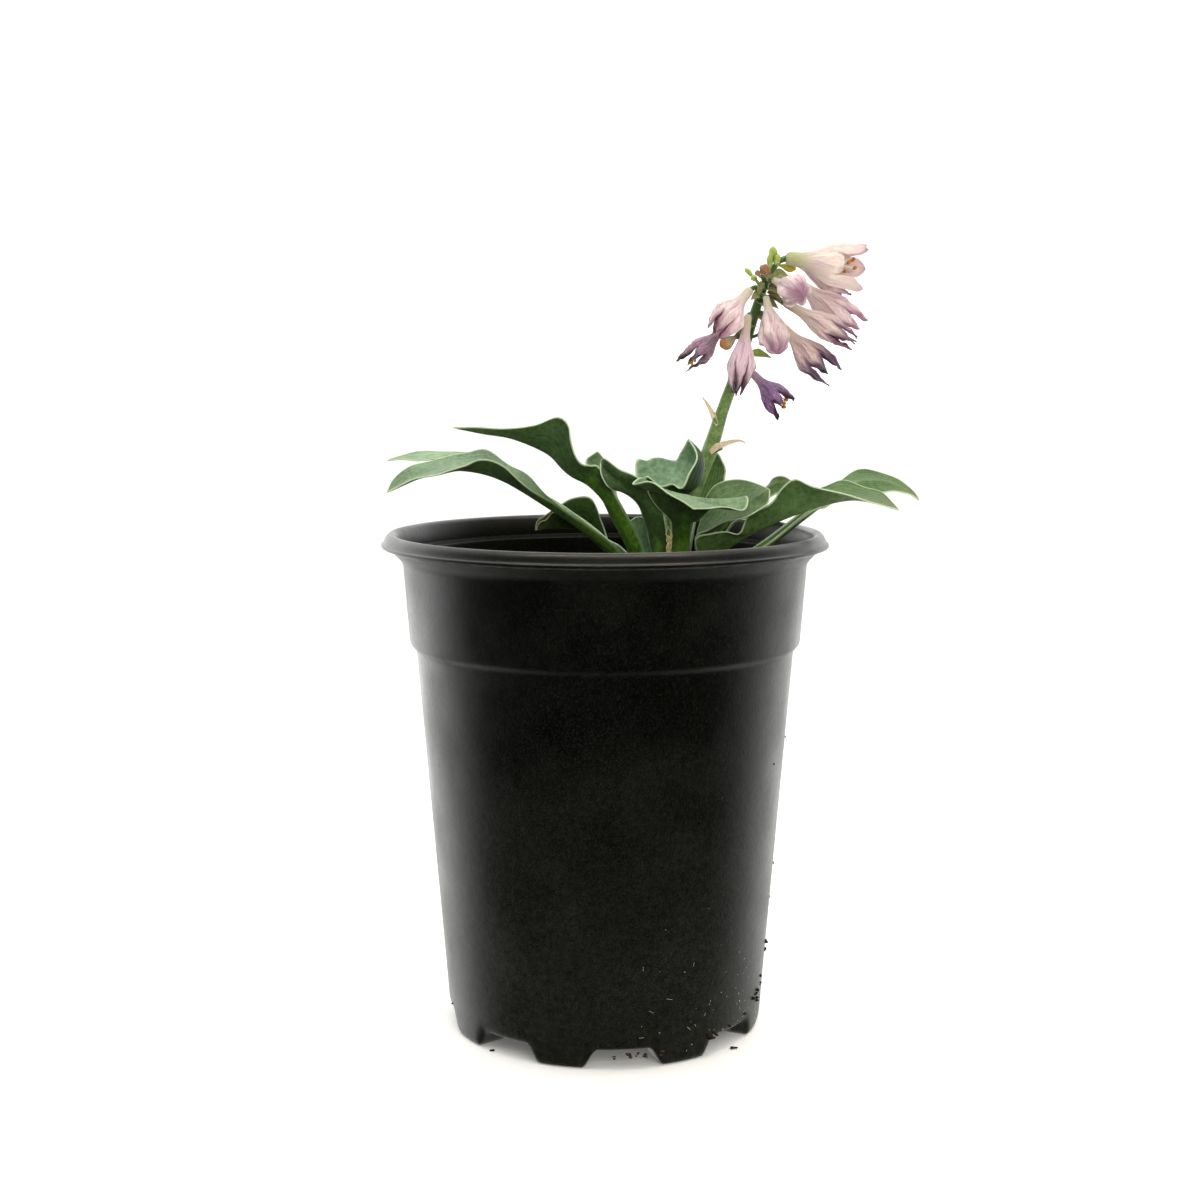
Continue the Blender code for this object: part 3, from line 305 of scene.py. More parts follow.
def loose(name, dark, light, grain_mm, roughness):
    """Dry loose stuff, such as peat, bark or perlite: matt, broken up in tone and rough to touch."""
    finish, tree, shader = new_finish(name, IOR=1.45, Roughness=roughness, Specular_IOR_Level=0.25)
    spot = add(tree, "ShaderNodeTexCoord", out="Object")
    grain = add(tree, "ShaderNodeTexNoise", {"Vector": spot, "Scale": per_mm(grain_mm),
                                             "Detail": 8.0, "Roughness": 0.7})
    tone = add(tree, "ShaderNodeMapRange", {0: grain, 1: 0.35, 2: 0.68, 3: 0.0, 4: 1.0})
    colour = add(tree, "ShaderNodeMix", {0: tone, 6: linear(dark), 7: linear(light)},
                 out=2, data_type="RGBA")
    tree.links.new(colour, shader.inputs["Base Color"])
    bump = add(tree, "ShaderNodeBump", {"Strength": 0.8, "Distance": 0.0008, "Height": grain})
    tree.links.new(bump, shader.inputs["Normal"])
    return finish


# Building


def world(points):
    """Millimetres round the pot's axis as metres in the frame."""
    return np.asarray(points, float) * MM + np.array(AXIS)


def add_piece(name, points, faces, finishes, marks=None, kinds=None):
    """A smooth mesh from points in metres. `marks` are numbers kept at each point for the finish,
    and `kinds` says which finish each face takes."""
    mesh = bpy.data.meshes.new(name)
    mesh.from_pydata([tuple(p) for p in points], [], faces)
    for finish in finishes:
        mesh.materials.append(finish)
    for key, values in (marks or {}).items():
        mesh.attributes.new(key, "FLOAT", "POINT").data.foreach_set(
            "value", np.asarray(values, np.float32))
    if kinds is not None:
        mesh.polygons.foreach_set("material_index", np.asarray(kinds, np.int32))
    mesh.shade_smooth()
    piece = bpy.data.objects.new(name, mesh)
    bpy.context.scene.collection.objects.link(piece)
    return piece


def dress(piece, slot, *nodes):
    """Hands a piece to the frame: it rides on the plant and stands for its nodes. `slot` is not used."""
    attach(piece, "root")
    if nodes:
        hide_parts(*nodes)
    return piece


def curve_point(points, t):
    """The point at t, from 0 to len(points) - 1, on a smooth curve through the points."""
    last = len(points) - 1
    i = min(int(t), last - 1)
    f = t - i
    a, b, c, d = points[max(i - 1, 0)], points[i], points[i + 1], points[min(i + 2, last)]
    return b + 0.5 * ((c - a) * f + (2 * a - 5 * b + 4 * c - d) * f**2
                      + (3 * b - a - 3 * c + d) * f**3)


def spaced(points, start, end, count):
    """count + 1 points at even distances on the smooth curve, from parameter start to end."""
    at = np.linspace(start, end, 12 * count + 1)
    dense = np.array([curve_point(points, t) for t in at])
    steps = np.linalg.norm(np.diff(dense[:, :3], axis=0), axis=1)
    length = np.concatenate([[0.0], np.cumsum(steps)])
    goals = np.linspace(0.0, length[-1], count + 1)
    return np.stack([np.interp(goals, length, dense[:, k]) for k in range(dense.shape[1])], 1)


def unit(vectors):
    """The vectors scaled to a length of 1."""
    size = np.linalg.norm(vectors, axis=-1, keepdims=True)
    return vectors / np.maximum(size, 1e-9)


def grid_faces(rows, columns):
    """Quads of a tube of points whose rings are stored one after the other."""
    faces = []
    for i in range(rows - 1):
        for j in range(columns):
            a = i * columns + j
            b = i * columns + (j + 1) % columns
            faces.append((a, b, b + columns, a + columns))
    return faces


def smooth_step(x, low, high):
    """0 below `low`, 1 above `high` and a smooth rise between them."""
    s = np.clip((np.asarray(x, float) - low) / (high - low), 0.0, 1.0)
    return s * s * (3 - 2 * s)


def turns(sides):
    """The angles of points that stand evenly round a circle."""
    return np.arange(sides) * 2 * math.pi / sides


def tube(points, radii, sides):
    """Points and faces of a round tube along a line, with a fan at each end."""
    points = np.asarray(points, float)
    ahead = unit(np.gradient(points, axis=0))
    across = np.array([1.0, 0.0, 0.0]) if abs(ahead[0][0]) < 0.8 else np.array([0.0, 1.0, 0.0])
    angle = turns(sides)
    rings = []
    for place, way, radius in zip(points, ahead, radii):
        across = unit(across - way * across.dot(way))
        other = np.cross(way, across)
        rings.append(place + radius * (np.cos(angle)[:, None] * across
                                       + np.sin(angle)[:, None] * other))
    made = np.concatenate(rings + [points[:1], points[-1:]])
    faces = grid_faces(len(points), sides)
    low, high = len(points) * sides, len(points) * sides + 1
    top = (len(points) - 1) * sides
    for j in range(sides):
        k = (j + 1) % sides
        faces.append((low, k, j))
        faces.append((high, top + j, top + k))
    return made, faces


def scatter(chips):
    """Joins many (points, faces, kind) into one list of each."""
    points, faces, kinds = [], [], []
    count = 0
    for some, flats, kind in chips:
        points.append(some)
        faces += [tuple(i + count for i in face) for face in flats]
        kinds += [kind] * len(flats)
        count += len(some)
    return np.concatenate(points), faces, kinds


# Leaves

SOIL_LEVEL = 151.0
PETIOLE_ROWS = 18
BLADE_ROWS = 54
HALF_COLUMNS = 20
PETIOLE_HALF = 3.1
PETIOLE_THICK = 2.3
BLADE_THICK = 0.6
# How much of a leaf's pale wax is worn off, from 0 to 1. The same number also lightens the
# # leaf's underside, as painted light on that side.
WAX_WEAR_AND_UNDERSIDE_LIGHT = {"leaf_left_low": 0.35, "leaf_left_high": 0.3, "leaf_cup": 0.0, "leaf_front": 0.5,
        "leaf_front_right": 0.8, "leaf_right_long": 1.0, "leaf_right_behind": 1.0,
        "leaf_right_tip": 1.0, "leaf_behind_stem": 0.9, "leaf_back_right": 0.8}
# Where along a blade the clear green of its stalk starts to fade and ends at the rib, and how much
# sooner it ends at the edge.
FRESH = {"leaf_left_low": (0.2, 0.46, 0.08), "leaf_left_high": (0.12, 0.5, 0.25)}
# How far each leaf is painted darker all over, as painted shade.
PAINTED_SHADE = {"leaf_left_low": 0.2, "leaf_right_long": 0.14, "leaf_right_tip": 0.08, "leaf_front": 0.06,
        "leaf_cup": 0.0, "leaf_front_right": 0.08}
# Where the petioles leave the crown, seen from above.
CROWN = (23.0, 3.0)
# How far the channel's edges stand above the rib of a petiole of the usual half width.
PETIOLE_RISE = 1.5
# Thickness of the petiole's edges, and of the rib where it dies away into the blade.
PETIOLE_EDGE = 0.9
RIB_END = 0.8
# Two veins of one half of a blade stand this far apart, as a share of its width.
VEIN_PITCH = 0.14

# Each leaf is a loft along three rails. The rib runs from the soil to the tip, and its first
# `stalk` points belong to the petiole, whose edges are worked out. The left and right edges of
# the blade are seen from above the leaf by one who looks towards its tip; both end at the tip.
# `belly` is how far a half of the blade sags below the straight line from rib to edge.
LEAVES = {
    "leaf_left_low": dict(
        stalk=4,
        belly=0.05,
        upper=3.4,
        rib=[(11.3, 0.6), (9.3, -1.8, 165), (3.5, -5.5, 177.4), (-9, -8, 187.5), (-20, -9, 194.5),
             (-35, -11, 203.5), (-46.1, -12, 207.5), (-56.1, -13, 208.6), (-67.1, -14, 205.9),
             (-78.9, -14, 200.6)],
        left=[(-23, -13, 198.8), (-28.6, -15.5, 203.2), (-33.2, -17, 207.1), (-36.2, -18, 209.8),
              (-41, -18, 212.4), (-46.1, -17, 212.6), (-51.1, -19, 210.1), (-59.1, -21, 207.5),
              (-67.1, -21, 206.5), (-74.1, -18, 202.9)],
        right=[(-20, -3, 196.7), (-28, 1, 205.6), (-36, 3, 209.3), (-44, 5, 215.3), (-52, 4, 213.6),
               (-61.4, 0, 211.9), (-70.4, -5, 209.8), (-76.9, -9, 205.1)],
    ),
    "leaf_left_behind": dict(
        stalk=4,
        belly=0.04,
        rib=[(10.5, 7.8), (8, 7.2, 165), (2, 7, 176.3), (-9, 7.5, 186.3), (-22, 10.5, 196.3),
             (-33.9, 15, 205.2), (-44.9, 18, 211.2), (-57.9, 20, 212.6), (-69.8, 21, 212),
             (-82.8, 21, 210.2)],
        left=[(-22, 6, 196.3), (-34, 8, 205.3), (-46, 8, 209.8), (-56.9, 9, 211.4), (-66.6, 11, 210.9),
              (-75.9, 16, 210.8)],
        right=[(-22, 14, 197.2), (-33.9, 24, 206.1), (-45.9, 30, 210.9), (-57.8, 32, 212.8),
               (-68.8, 30, 213.3), (-77.8, 25, 211.7)],
    ),
    "leaf_left_high": dict(
        stalk=4,
        belly=0.06,
        half=3.1,
        upper=4.2,
        rib=[(13.1, -6.5), (12.9, -8.7, 166), (10.5, -9.5, 178.5), (3, -11, 193.5), (-5, -12, 202.5),
             (-12, -13, 206.4), (-15.5, -14, 209.2), (-21, -14.5, 214.6), (-33.1, -15, 220.1),
             (-44.1, -16, 222.1), (-54.6, -16, 224.1)],
        left=[(-1.8, -14.5, 209), (-4.5, -17, 210.2), (-8.2, -19, 210.8), (-10.6, -20.5, 214.1),
              (-12, -21, 219.7), (-13, -21, 225.2), (-17, -21, 227.9), (-25.1, -20, 224.9),
              (-36.1, -19, 224), (-47.1, -18, 224.2)],
        right=[(-4.5, -8.5, 205), (-10, -3, 209.4), (-15, 1, 215.4), (-21, 2, 219.9), (-31, -2, 221.4),
               (-43, -9, 222.5)],
    ),
    "leaf_left_tip": dict(
        stalk=4,
        belly=0.1,
        half=2.0,
        rib=[(16.5, 12.5), (14.5, 13.5, 165), (10, 14.5, 179.2), (4, 15, 191.2), (0, 16, 200.2),
             (-2, 16, 207.2), (-2.9, 14, 214)],
        left=[(-3, 12, 202.3), (-6.5, 11, 207.3), (-6.5, 12, 211.3)],
        right=[(4, 17, 200.2), (4, 18, 205.2), (0.5, 16, 210.2)],
    ),
    "leaf_front_left": dict(
        stalk=3,
        belly=0.1,
        rib=[(19.6, -9.9), (19.9, -12.3, 166), (19.8, -14, 178.6), (18, -15, 189.6),
             (12.5, -15.5, 198.1), (6.5, -17, 203.6), (1, -15, 208.1), (-1.5, -12, 211.5)],
        left=[(21.6, -14.3, 189.6), (18.7, -13.5, 200.6), (11, -18, 206.6), (5, -18, 209.3),
              (0, -16, 212.9)],
        right=[(14, -13, 190.6), (12, -13, 196.6), (6, -16, 200.6), (1, -18, 203.1),
               (-1.5, -17, 207.6)],
    ),
    "leaf_cup": dict(
        stalk=4,
        belly=0.24,
        rib=[(20.5, 0.5), (20, 1, 164), (19, 2, 178.4), (19, 3, 190.4), (23, 3, 196.4), (30, 2, 198.9),
             (34.8, 4, 203.4), (36.1, 6, 209.3), (33.6, 8, 214.3), (31, 8, 218.8)],
        left=[(13, 7, 198.3), (11.5, 10, 207.3), (12.5, 11, 211.3), (15.5, 12, 210.6), (19, 13, 211.6),
              (26, 13, 209.9), (28.5, 11, 213.8)],
        right=[(14, -3, 198.4), (15, -6, 206), (20, -7, 202), (24.5, -7, 203), (27.8, -7, 201.7),
               (30.4, -5, 206.5), (34, -1, 212.4)],
    ),
    "leaf_front": dict(
        stalk=4,
        belly=0.05,
        half=3.7,
        rib=[(28, -9.2), (28, -11, 165), (28, -12.5, 177.5), (28.2, -14, 188.6), (28.4, -14, 195.1),
             (29.1, -17, 199.6), (30.1, -26, 198.7), (31.1, -36, 196.3)],
        left=[(34.5, -12, 190.5), (40, -11, 195.5), (45.1, -13, 196.9), (51.1, -17, 198.9),
              (50.1, -22, 195.2), (44.1, -28, 196), (37.1, -33, 196.3)],
        right=[(22.5, -15.5, 192.1), (19.3, -17, 195.1), (16, -19, 199.6), (14.8, -20, 204.1),
               (13, -21, 206.4), (10, -23.5, 204.3), (16, -27, 204.9), (23.1, -32, 201.3)],
    ),
    "leaf_front_right": dict(
        stalk=3,
        belly=0.05,
        rib=[(31.5, 2), (33.2, 1, 165), (35.5, -1, 176.3), (39, -4, 184.5), (45.5, -8.5, 190.5),
             (51.1, -12, 195.5), (55.6, -14, 199.1), (59.6, -15, 201.6)],
        left=[(34.5, 3.5, 184.4), (36, 5, 190.4), (38, 6.5, 197.3), (42, 7, 202.3), (48, 4, 204.1),
              (55, -5, 203.3)],
        right=[(33.4, -6, 183.2), (36.3, -9, 186), (41, -13, 188.6), (46.8, -17, 190.8),
               (52, -19, 192.8), (56, -18.5, 194.6), (58.9, -17.5, 197)],
    ),
    "leaf_right_long": dict(
        stalk=3,
        belly=0.03,
        rib=[(35.2, -5.8), (35.3, -8.5, 166), (37, -10.5, 174.3), (43, -11, 179), (50.1, -10.5, 183.5),
             (57.6, -10, 187), (65.1, -10, 190.3), (73.1, -10, 193.1), (81.1, -9.5, 195.7),
             (90.1, -9, 197.5), (98.1, -8.5, 196.5), (107.4, -9, 193.7)],
        left=[(46, -4, 181), (54, -2, 184.4), (63, -1, 191.4), (72, 1, 197.9), (81, 3, 201.4),
              (88.9, 7, 203.8), (96.9, 7, 200.6), (103.5, 4, 198.7)],
        right=[(32.7, -15.5, 183.6), (38.1, -16, 185.6), (44.1, -15.5, 186.6), (48.6, -14.5, 185.8),
               (52.1, -13, 192.1), (60.1, -13.5, 196.3), (64.1, -15, 202.3), (68.6, -16, 205.6),
               (75.1, -16, 202.9), (87.1, -15, 199.6), (98.1, -13, 196.6)],
    ),
    "leaf_right_behind": dict(
        stalk=5,
        belly=0.05,
        half=2.3,
        rib=[(37.5, 7.5), (40, 7.5, 163), (48.5, 7, 170.9), (62.3, 7, 180.5), (76.4, 8, 191.3),
             (89.9, 15, 199.7), (97.8, 20, 202.2), (105.7, 24, 201.9), (113.7, 26, 199.3),
             (120.7, 27, 194.6)],
        left=[(81.9, 15, 194.7), (89.8, 26, 201.9), (96.7, 31, 205.6), (104.6, 33, 205.6),
              (112.6, 32, 202.3), (118.1, 29, 198.6)],
        right=[(82.9, 7, 193.8), (89.9, 11, 196.8), (97.9, 14, 198.4), (105.8, 17, 198.2),
               (113.7, 21, 198.2)],
    ),
    "leaf_behind_stem": dict(
        stalk=4,
        belly=0.15,
        rib=[(28, 15), (29, 17.5, 166), (30.9, 20, 181.2), (34.4, 24, 194.1), (37.9, 26, 204.1),
             (39.9, 26, 209.6), (40.4, 25, 213.6)],
        left=[(27.9, 22, 196.2), (28.9, 24, 205.1), (33.4, 24, 211.6)],
        right=[(41.9, 21, 192.2), (45.4, 22, 201.2), (45.4, 23, 208.1), (43.4, 24, 212.1)],
    ),
    "leaf_left_short": dict(
        stalk=3,
        belly=0.1,
        rib=[(11.5, 15), (9.3, 16, 165), (5, 17, 174.1), (-2, 17.5, 181.2), (-10, 18, 184.2),
             (-19, 18, 184.7), (-26.5, 16, 184.2)],
        left=[(-1, 13, 186.3), (-3, 12.8, 192.8), (-6, 13, 196.7), (-12, 14, 196.4), (-17, 15, 193.7),
              (-22, 15.5, 190.2), (-25.5, 15.5, 187.7)],
        right=[(-6, 22, 184.2), (-12, 25, 187.1), (-19, 23, 188.1), (-24, 19, 187.2)],
    ),
    "leaf_small": dict(
        stalk=3,
        belly=0.12,
        half=2.4,
        rib=[(20.3, 9), (19.5, 9.8, 164), (17.5, 10.5, 172.1), (15.5, 10.5, 179.3), (13.5, 10.8, 185.3),
             (11.5, 11.5, 189.3)],
        left=[(12, 9, 177.3), (9, 9, 182.3), (9, 10, 187.3)],
        right=[(19.5, 9, 180.3), (18, 9.5, 186.3), (14.5, 11, 189.3)],
    ),
    "leaf_right_tip": dict(
        stalk=4,
        belly=0.06,
        rib=[(35, 15), (36.5, 15.5, 164), (40.9, 16, 176.2), (46.9, 16, 186.2), (52.9, 15, 193.7),
             (58.9, 14, 198.9), (65.4, 13, 201.9), (70.3, 12, 202.7)],
        left=[(47.9, 20, 190.2), (54.9, 20.5, 195.5), (60.8, 19, 200.3), (63.7, 17, 203.6),
              (67.5, 14.5, 204.4)],
        right=[(53.9, 10, 191.6), (59.9, 9.5, 195.6), (66, 10, 199.3)],
    ),
    "leaf_back": dict(
        stalk=4,
        belly=0.08,
        rib=[(21, 19), (21.5, 22, 166), (22.9, 27, 179.1), (24.9, 34, 189), (27.9, 42, 193.9),
             (29.8, 52, 194.3), (31.8, 64, 190.7)],
        left=[(17.9, 35, 192), (13.9, 43, 196.9), (17.9, 54, 196.8)],
        right=[(31.9, 35, 191), (39.8, 44, 195.9), (41.8, 55, 194.8)],
    ),
    "leaf_back_right": dict(
        stalk=4,
        belly=0.06,
        rib=[(34.5, 22.5), (36, 25, 165), (40.4, 29, 178.1), (45.8, 34, 187), (52.8, 40, 190),
             (59.7, 47, 188.5), (68.6, 54, 184)],
        left=[(42.8, 39, 190), (45.8, 49, 192.5), (54.7, 56, 190)],
        right=[(54.8, 31, 187), (63.8, 36, 189.5), (69.7, 45, 188)],
    ),
    "dry_sheath": dict(
        stalk=3,
        half=1.1,
        rib=[(24.4, -15), (23.7, -17, 165), (23.1, -18, 176.5), (23.1, -19, 183.6),
             (22.8, -19.5, 191.1)],
        left=[(24.4, -19.5, 186.6)],
        right=[(21.9, -19, 187.6)],
    ),
}


def petiole_edges(rib, half, upper, rise):
    """The two edges of the channelled petiole. Its channel faces the crown's axis and the sky, and
    its half width goes from `half` in the soil to `upper` where the blade starts."""
    inward = np.array([CROWN[0] - rib[0][0], CROWN[1] - rib[0][1], 0.0])
    inward = unit(inward) if np.linalg.norm(inward) > 1.0 else np.array([0.0, 1.0, 0.0])
    left, right = [], []
    for i, place in enumerate(rib):
        ahead = unit(rib[min(i + 1, len(rib) - 1)] - rib[max(i - 1, 0)])
        face = inward + np.array([0.0, 0.0, 0.6])
        face = unit(face - ahead * face.dot(ahead))
        side = np.cross(ahead, face) * (half + (upper - half) * i / (len(rib) - 1))
        left.append(place - side + face * rise)
        right.append(place + side + face * rise)
    return left, right


def leaf_rails(leaf):
    """Left edge, rib and right edge as rows of points, from the soil to the tip."""
    rib = [np.array([*leaf["rib"][0], SOIL_LEVEL])]
    rib += [np.array(point, float) for point in leaf["rib"][1:]]
    stalk = leaf["stalk"]
    half = leaf.get("half", PETIOLE_HALF)
    rise = PETIOLE_RISE * half / PETIOLE_HALF
    left, right = petiole_edges(rib[:stalk + 1], half, leaf.get("upper", half), rise)
    left = left[:stalk] + [np.array(p, float) for p in leaf["left"]] + [rib[-1]]
    right = right[:stalk] + [np.array(p, float) for p in leaf["right"]] + [rib[-1]]
    rails = []
    for rail in (left, rib, right):
        lower = spaced(rail, 0.0, stalk - 1.0, PETIOLE_ROWS)
        upper = spaced(rail, stalk - 1.0, len(rail) - 1.0, BLADE_ROWS)
        rails.append(np.concatenate([lower, upper[1:]]))
    return rails


def add_leaf(name, leaf, finish, seed):
    """The leaf as a closed skin: a thick channelled stalk that thins into a waved, veined blade."""
    left, rib, right = leaf_rails(leaf)
    rows = len(rib)
    along = np.concatenate([np.linspace(-1, 0, PETIOLE_ROWS + 1),
                            np.linspace(0, 1, BLADE_ROWS + 1)[1:]])
    blade = smooth_step(along, -0.05, 0.12)
    share = 1 - (1 - np.linspace(0, 1, HALF_COLUMNS + 1)) ** 1.15
    across = np.concatenate([-share[::-1], share[1:]])
    half = np.where(across[None, :, None] < 0, (left - rib)[:, None], (right - rib)[:, None])
    width = np.linalg.norm(half, axis=2)
    ahead = np.gradient(rib, axis=0)
    up = unit(np.cross(ahead, left - right))
    up[-1] = up[-2]
    u = np.abs(across)[None, :]
    belly = (0.25 + (leaf["belly"] - 0.25) * blade)[:, None]
    sag = belly * width * 4 * u * (1 - u)
    sheet = rib[:, None] + half * u[..., None] - up[:, None] * sag[..., None]
    # The two halves meet in a rounded fold.
    for _ in range(3):
        near = np.exp(-(u / 0.16) ** 2)[..., None] * 0.5
        mean = (sheet[:, :-2] + sheet[:, 2:]) / 2
        sheet[:, 1:-1] += (mean - sheet[:, 1:-1]) * near[:, 1:-1]
    normal = np.cross(np.gradient(sheet, axis=0), np.gradient(sheet, axis=1))
    normal = unit(-normal)
    flip = np.sign((normal * up[:, None]).sum(2, keepdims=True))
    normal[-1] = up[-1]
    for _ in range(2):
        normal[1:-1] = unit(normal[:-2] + 2 * normal[1:-1] + normal[2:])
        normal[:, 1:-1] = unit(normal[:, :-2] + 2 * normal[:, 1:-1] + normal[:, 2:])
    # Ribbed between the veins, and a little waved along the margins.
    draw = np.random.RandomState(seed)
    phase = draw.uniform(0, 6.28, 4)
    waves = 3 + draw.randint(0, 2)
    inner = (blade * smooth_step(1 - along, 0.0, 0.2))[:, None]
    ribbing = 0.04 * (np.cos(u * 2 * math.pi / VEIN_PITCH) - 1) * inner * smooth_step(width, 1.5, 7.0)
    shift = np.where(across < 0, phase[0], phase[1])
    wave = 0.35 * u**3 * np.sin(along[:, None] * waves * 6.28 + shift)
    sheet += normal * (ribbing + wave * inner)[..., None]
    # Thick stalk, thin blade, and a rib that stands out under the blade and dies away.
    rib_thick = PETIOLE_THICK + (RIB_END - PETIOLE_THICK) * np.clip(along / 0.4, 0, 1) ** 0.7
    stalk_form = rib_thick[:, None] + (PETIOLE_EDGE - rib_thick[:, None]) * np.minimum(1.0, 1.15 * u)
    gap = width * u
    swell = np.exp(-(gap / (1.0 + 1.2 * (1 - np.clip(along, 0, 1)))[:, None]) ** 2)
    blade_form = BLADE_THICK - 0.12 * u + (rib_thick[:, None] - BLADE_THICK) * swell
    mix = smooth_step(along, 0.0, 0.3)[:, None]
    form = stalk_form + (blade_form - stalk_form) * mix
    form = np.minimum(form, np.maximum(0.45, 2.2 * width.max(1, keepdims=True) + 0.45))
    above = sheet + normal * (form / 2)[..., None]
    under = sheet - normal * (form / 2)[..., None]
    columns = len(across)
    brim_out = [unit(sheet[:, k] - sheet[:, m]) for k, m in ((0, 1), (-1, -2))]
    brims = [sheet[:, k] + out * form[:, k:k + 1 or None] * 0.4 for k, out in zip((0, -1), brim_out)]
    top = np.concatenate([above, brims[1][:, None], under[:, ::-1], brims[0][:, None]], axis=1)
    ring = top.shape[1]
    points = world(top.reshape(-1, 3))
    faces = grid_faces(rows, ring)
    if flip.mean() < 0:
        faces = [face[::-1] for face in faces]
    for row in (0, rows - 1):
        cap = []
        for j in range(columns - 1):
            a, b = row * ring + j, row * ring + j + 1
            c, d = row * ring + 2 * columns - j - 1, row * ring + 2 * columns - j
            cap.append((a, b, c, d))
        cap.append((row * ring + columns - 1, row * ring + columns, row * ring + columns + 1))
        cap.append((row * ring, row * ring + 2 * columns, row * ring + 2 * columns + 1))
        faces += cap
    edge = width * (1 - u)
    edge = np.minimum(edge, np.linspace(rows, 0, rows)[:, None] * 0.8)
    zero = np.zeros((rows, 1))
    fades, ends, sooner = FRESH.get(name, (-0.05, 0.34, 0.55))
    green = 1 - smooth_step(along[:, None] + sooner * u, fades, ends)
    lines = dict(
        across=np.concatenate([across, [1], across[::-1], [-1]])[None].repeat(rows, 0),
        along=along[:, None].repeat(ring, 1),
        green=np.concatenate([green, green[:, -1:], green[:, ::-1], green[:, :1]], axis=1),
        wax_wear_and_underside_light=np.full((rows, ring), WAX_WEAR_AND_UNDERSIDE_LIGHT.get(name, 0.4)),
        painted_shade=np.full((rows, ring), PAINTED_SHADE.get(name, 0.0)),
        edge_mm=np.concatenate([edge, zero, edge[:, ::-1], zero], axis=1),
        upper=np.concatenate([np.ones(columns), [0.5], np.zeros(columns), [0.5]])[None].repeat(rows, 0),
    )
    return add_piece("fine_" + name, points, faces, [finish], {k: v.ravel() for k, v in lines.items()})


# A curled thread of dry margin that hangs from the tip of the short left leaf.
LOOSE_THREAD = [(-18.6, 14.5, 191.2), (-20.2, 14, 190.5), (-22.3, 13.5, 188.1), (-24.1, 13, 187.6),
                (-25.5, 13, 185.9), (-25.7, 13, 184.4)]


def add_fibres(name, leaf, finish):
    """A dry sheath that has split into curling fibres."""
    _, rib, _ = leaf_rails(leaf)
    parts = []
    draw = np.random.RandomState(5)
    t = np.linspace(0, 1, 41)
    for _ in range(7):
        top = draw.uniform(0.7, 1.0)
        line = np.stack([np.interp(t * top, np.linspace(0, 1, len(rib)), rib[:, k]) for k in range(3)], 1)
        phase, turns = draw.uniform(0, 6.28, 2), draw.uniform(8, 20)
        sway = 0.5 + 0.9 * t
        line[:, 0] += sway * np.sin(turns * t + phase[0]) * 0.8
        line[:, 1] += sway * np.cos(turns * t + phase[1]) * 0.6
        width = draw.uniform(0.22, 0.5) * (1 - 0.55 * t)
        parts.append((*tube(line, width, 8), 0))
    parts.append((*tube(spaced(np.array(LOOSE_THREAD), 0.0, 5.0, 30), np.full(31, 0.24), 8), 0))
    points, faces, _ = scatter(parts)
    return add_piece("fine_" + name, world(points), faces, [finish], dict(along=np.zeros(len(points))))


# Flowers

LOBES = 6
PETAL_THICK = 0.35
THREAD_RADIUS = 0.22
ANTHER_RADIUS = 0.62
# Each flower runs from the end of its stalk, `base`, to the middle of its mouth. `joins` is the
# height at which its stalk leaves the stem, and `radius` is the bell's. `spread` is how far the
# tips of the lobes stand from the axis, as a share of that radius.
FLOWERS = {
    "flower_01": dict(joins=279, base=(66.9, 10, 285.3), mouth=(95.9, 6, 281.6), radius=8.7, spread=1.13),
    "flower_02": dict(joins=275, base=(62.2, 6, 277), mouth=(71.3, -12, 271.2), radius=6.1, spread=0.0),
    "flower_03": dict(joins=277, base=(69.9, 15.5, 278.2), mouth=(94.8, 22, 259.7), radius=6.5, spread=1.05),
    "flower_04": dict(joins=271, base=(65.9, 8, 269.3), mouth=(92, 5, 254.4), radius=5.3, spread=0.9),
    "flower_05": dict(joins=266, base=(64.9, 13, 261.3), mouth=(84.4, 12, 241.8), radius=6.0, spread=1.0),
    "flower_06": dict(joins=270, base=(59, 4, 270.9), mouth=(62.8, -6, 250), radius=5.9, spread=0.0),
    "flower_07": dict(joins=273, base=(53.5, 7, 273.8), mouth=(39.5, 0, 257.9), radius=5.8, spread=0.55),
    "flower_08": dict(joins=258, base=(45.4, 12, 260.8), mouth=(30, 10, 246.1), radius=4.4, spread=0.85),
    "flower_09": dict(joins=262, base=(52.5, 3, 264.4), mouth=(48, -4, 235.5), radius=5.0, spread=0.5),
    "flower_10": dict(joins=248, base=(54.7, 9, 243.3), mouth=(67, 6, 230.3), radius=5.0, spread=1.0),
    "flower_11": dict(joins=280, base=(67.9, 20, 286.2), mouth=(94, 33, 277.4), radius=6.3, spread=1.0),
}
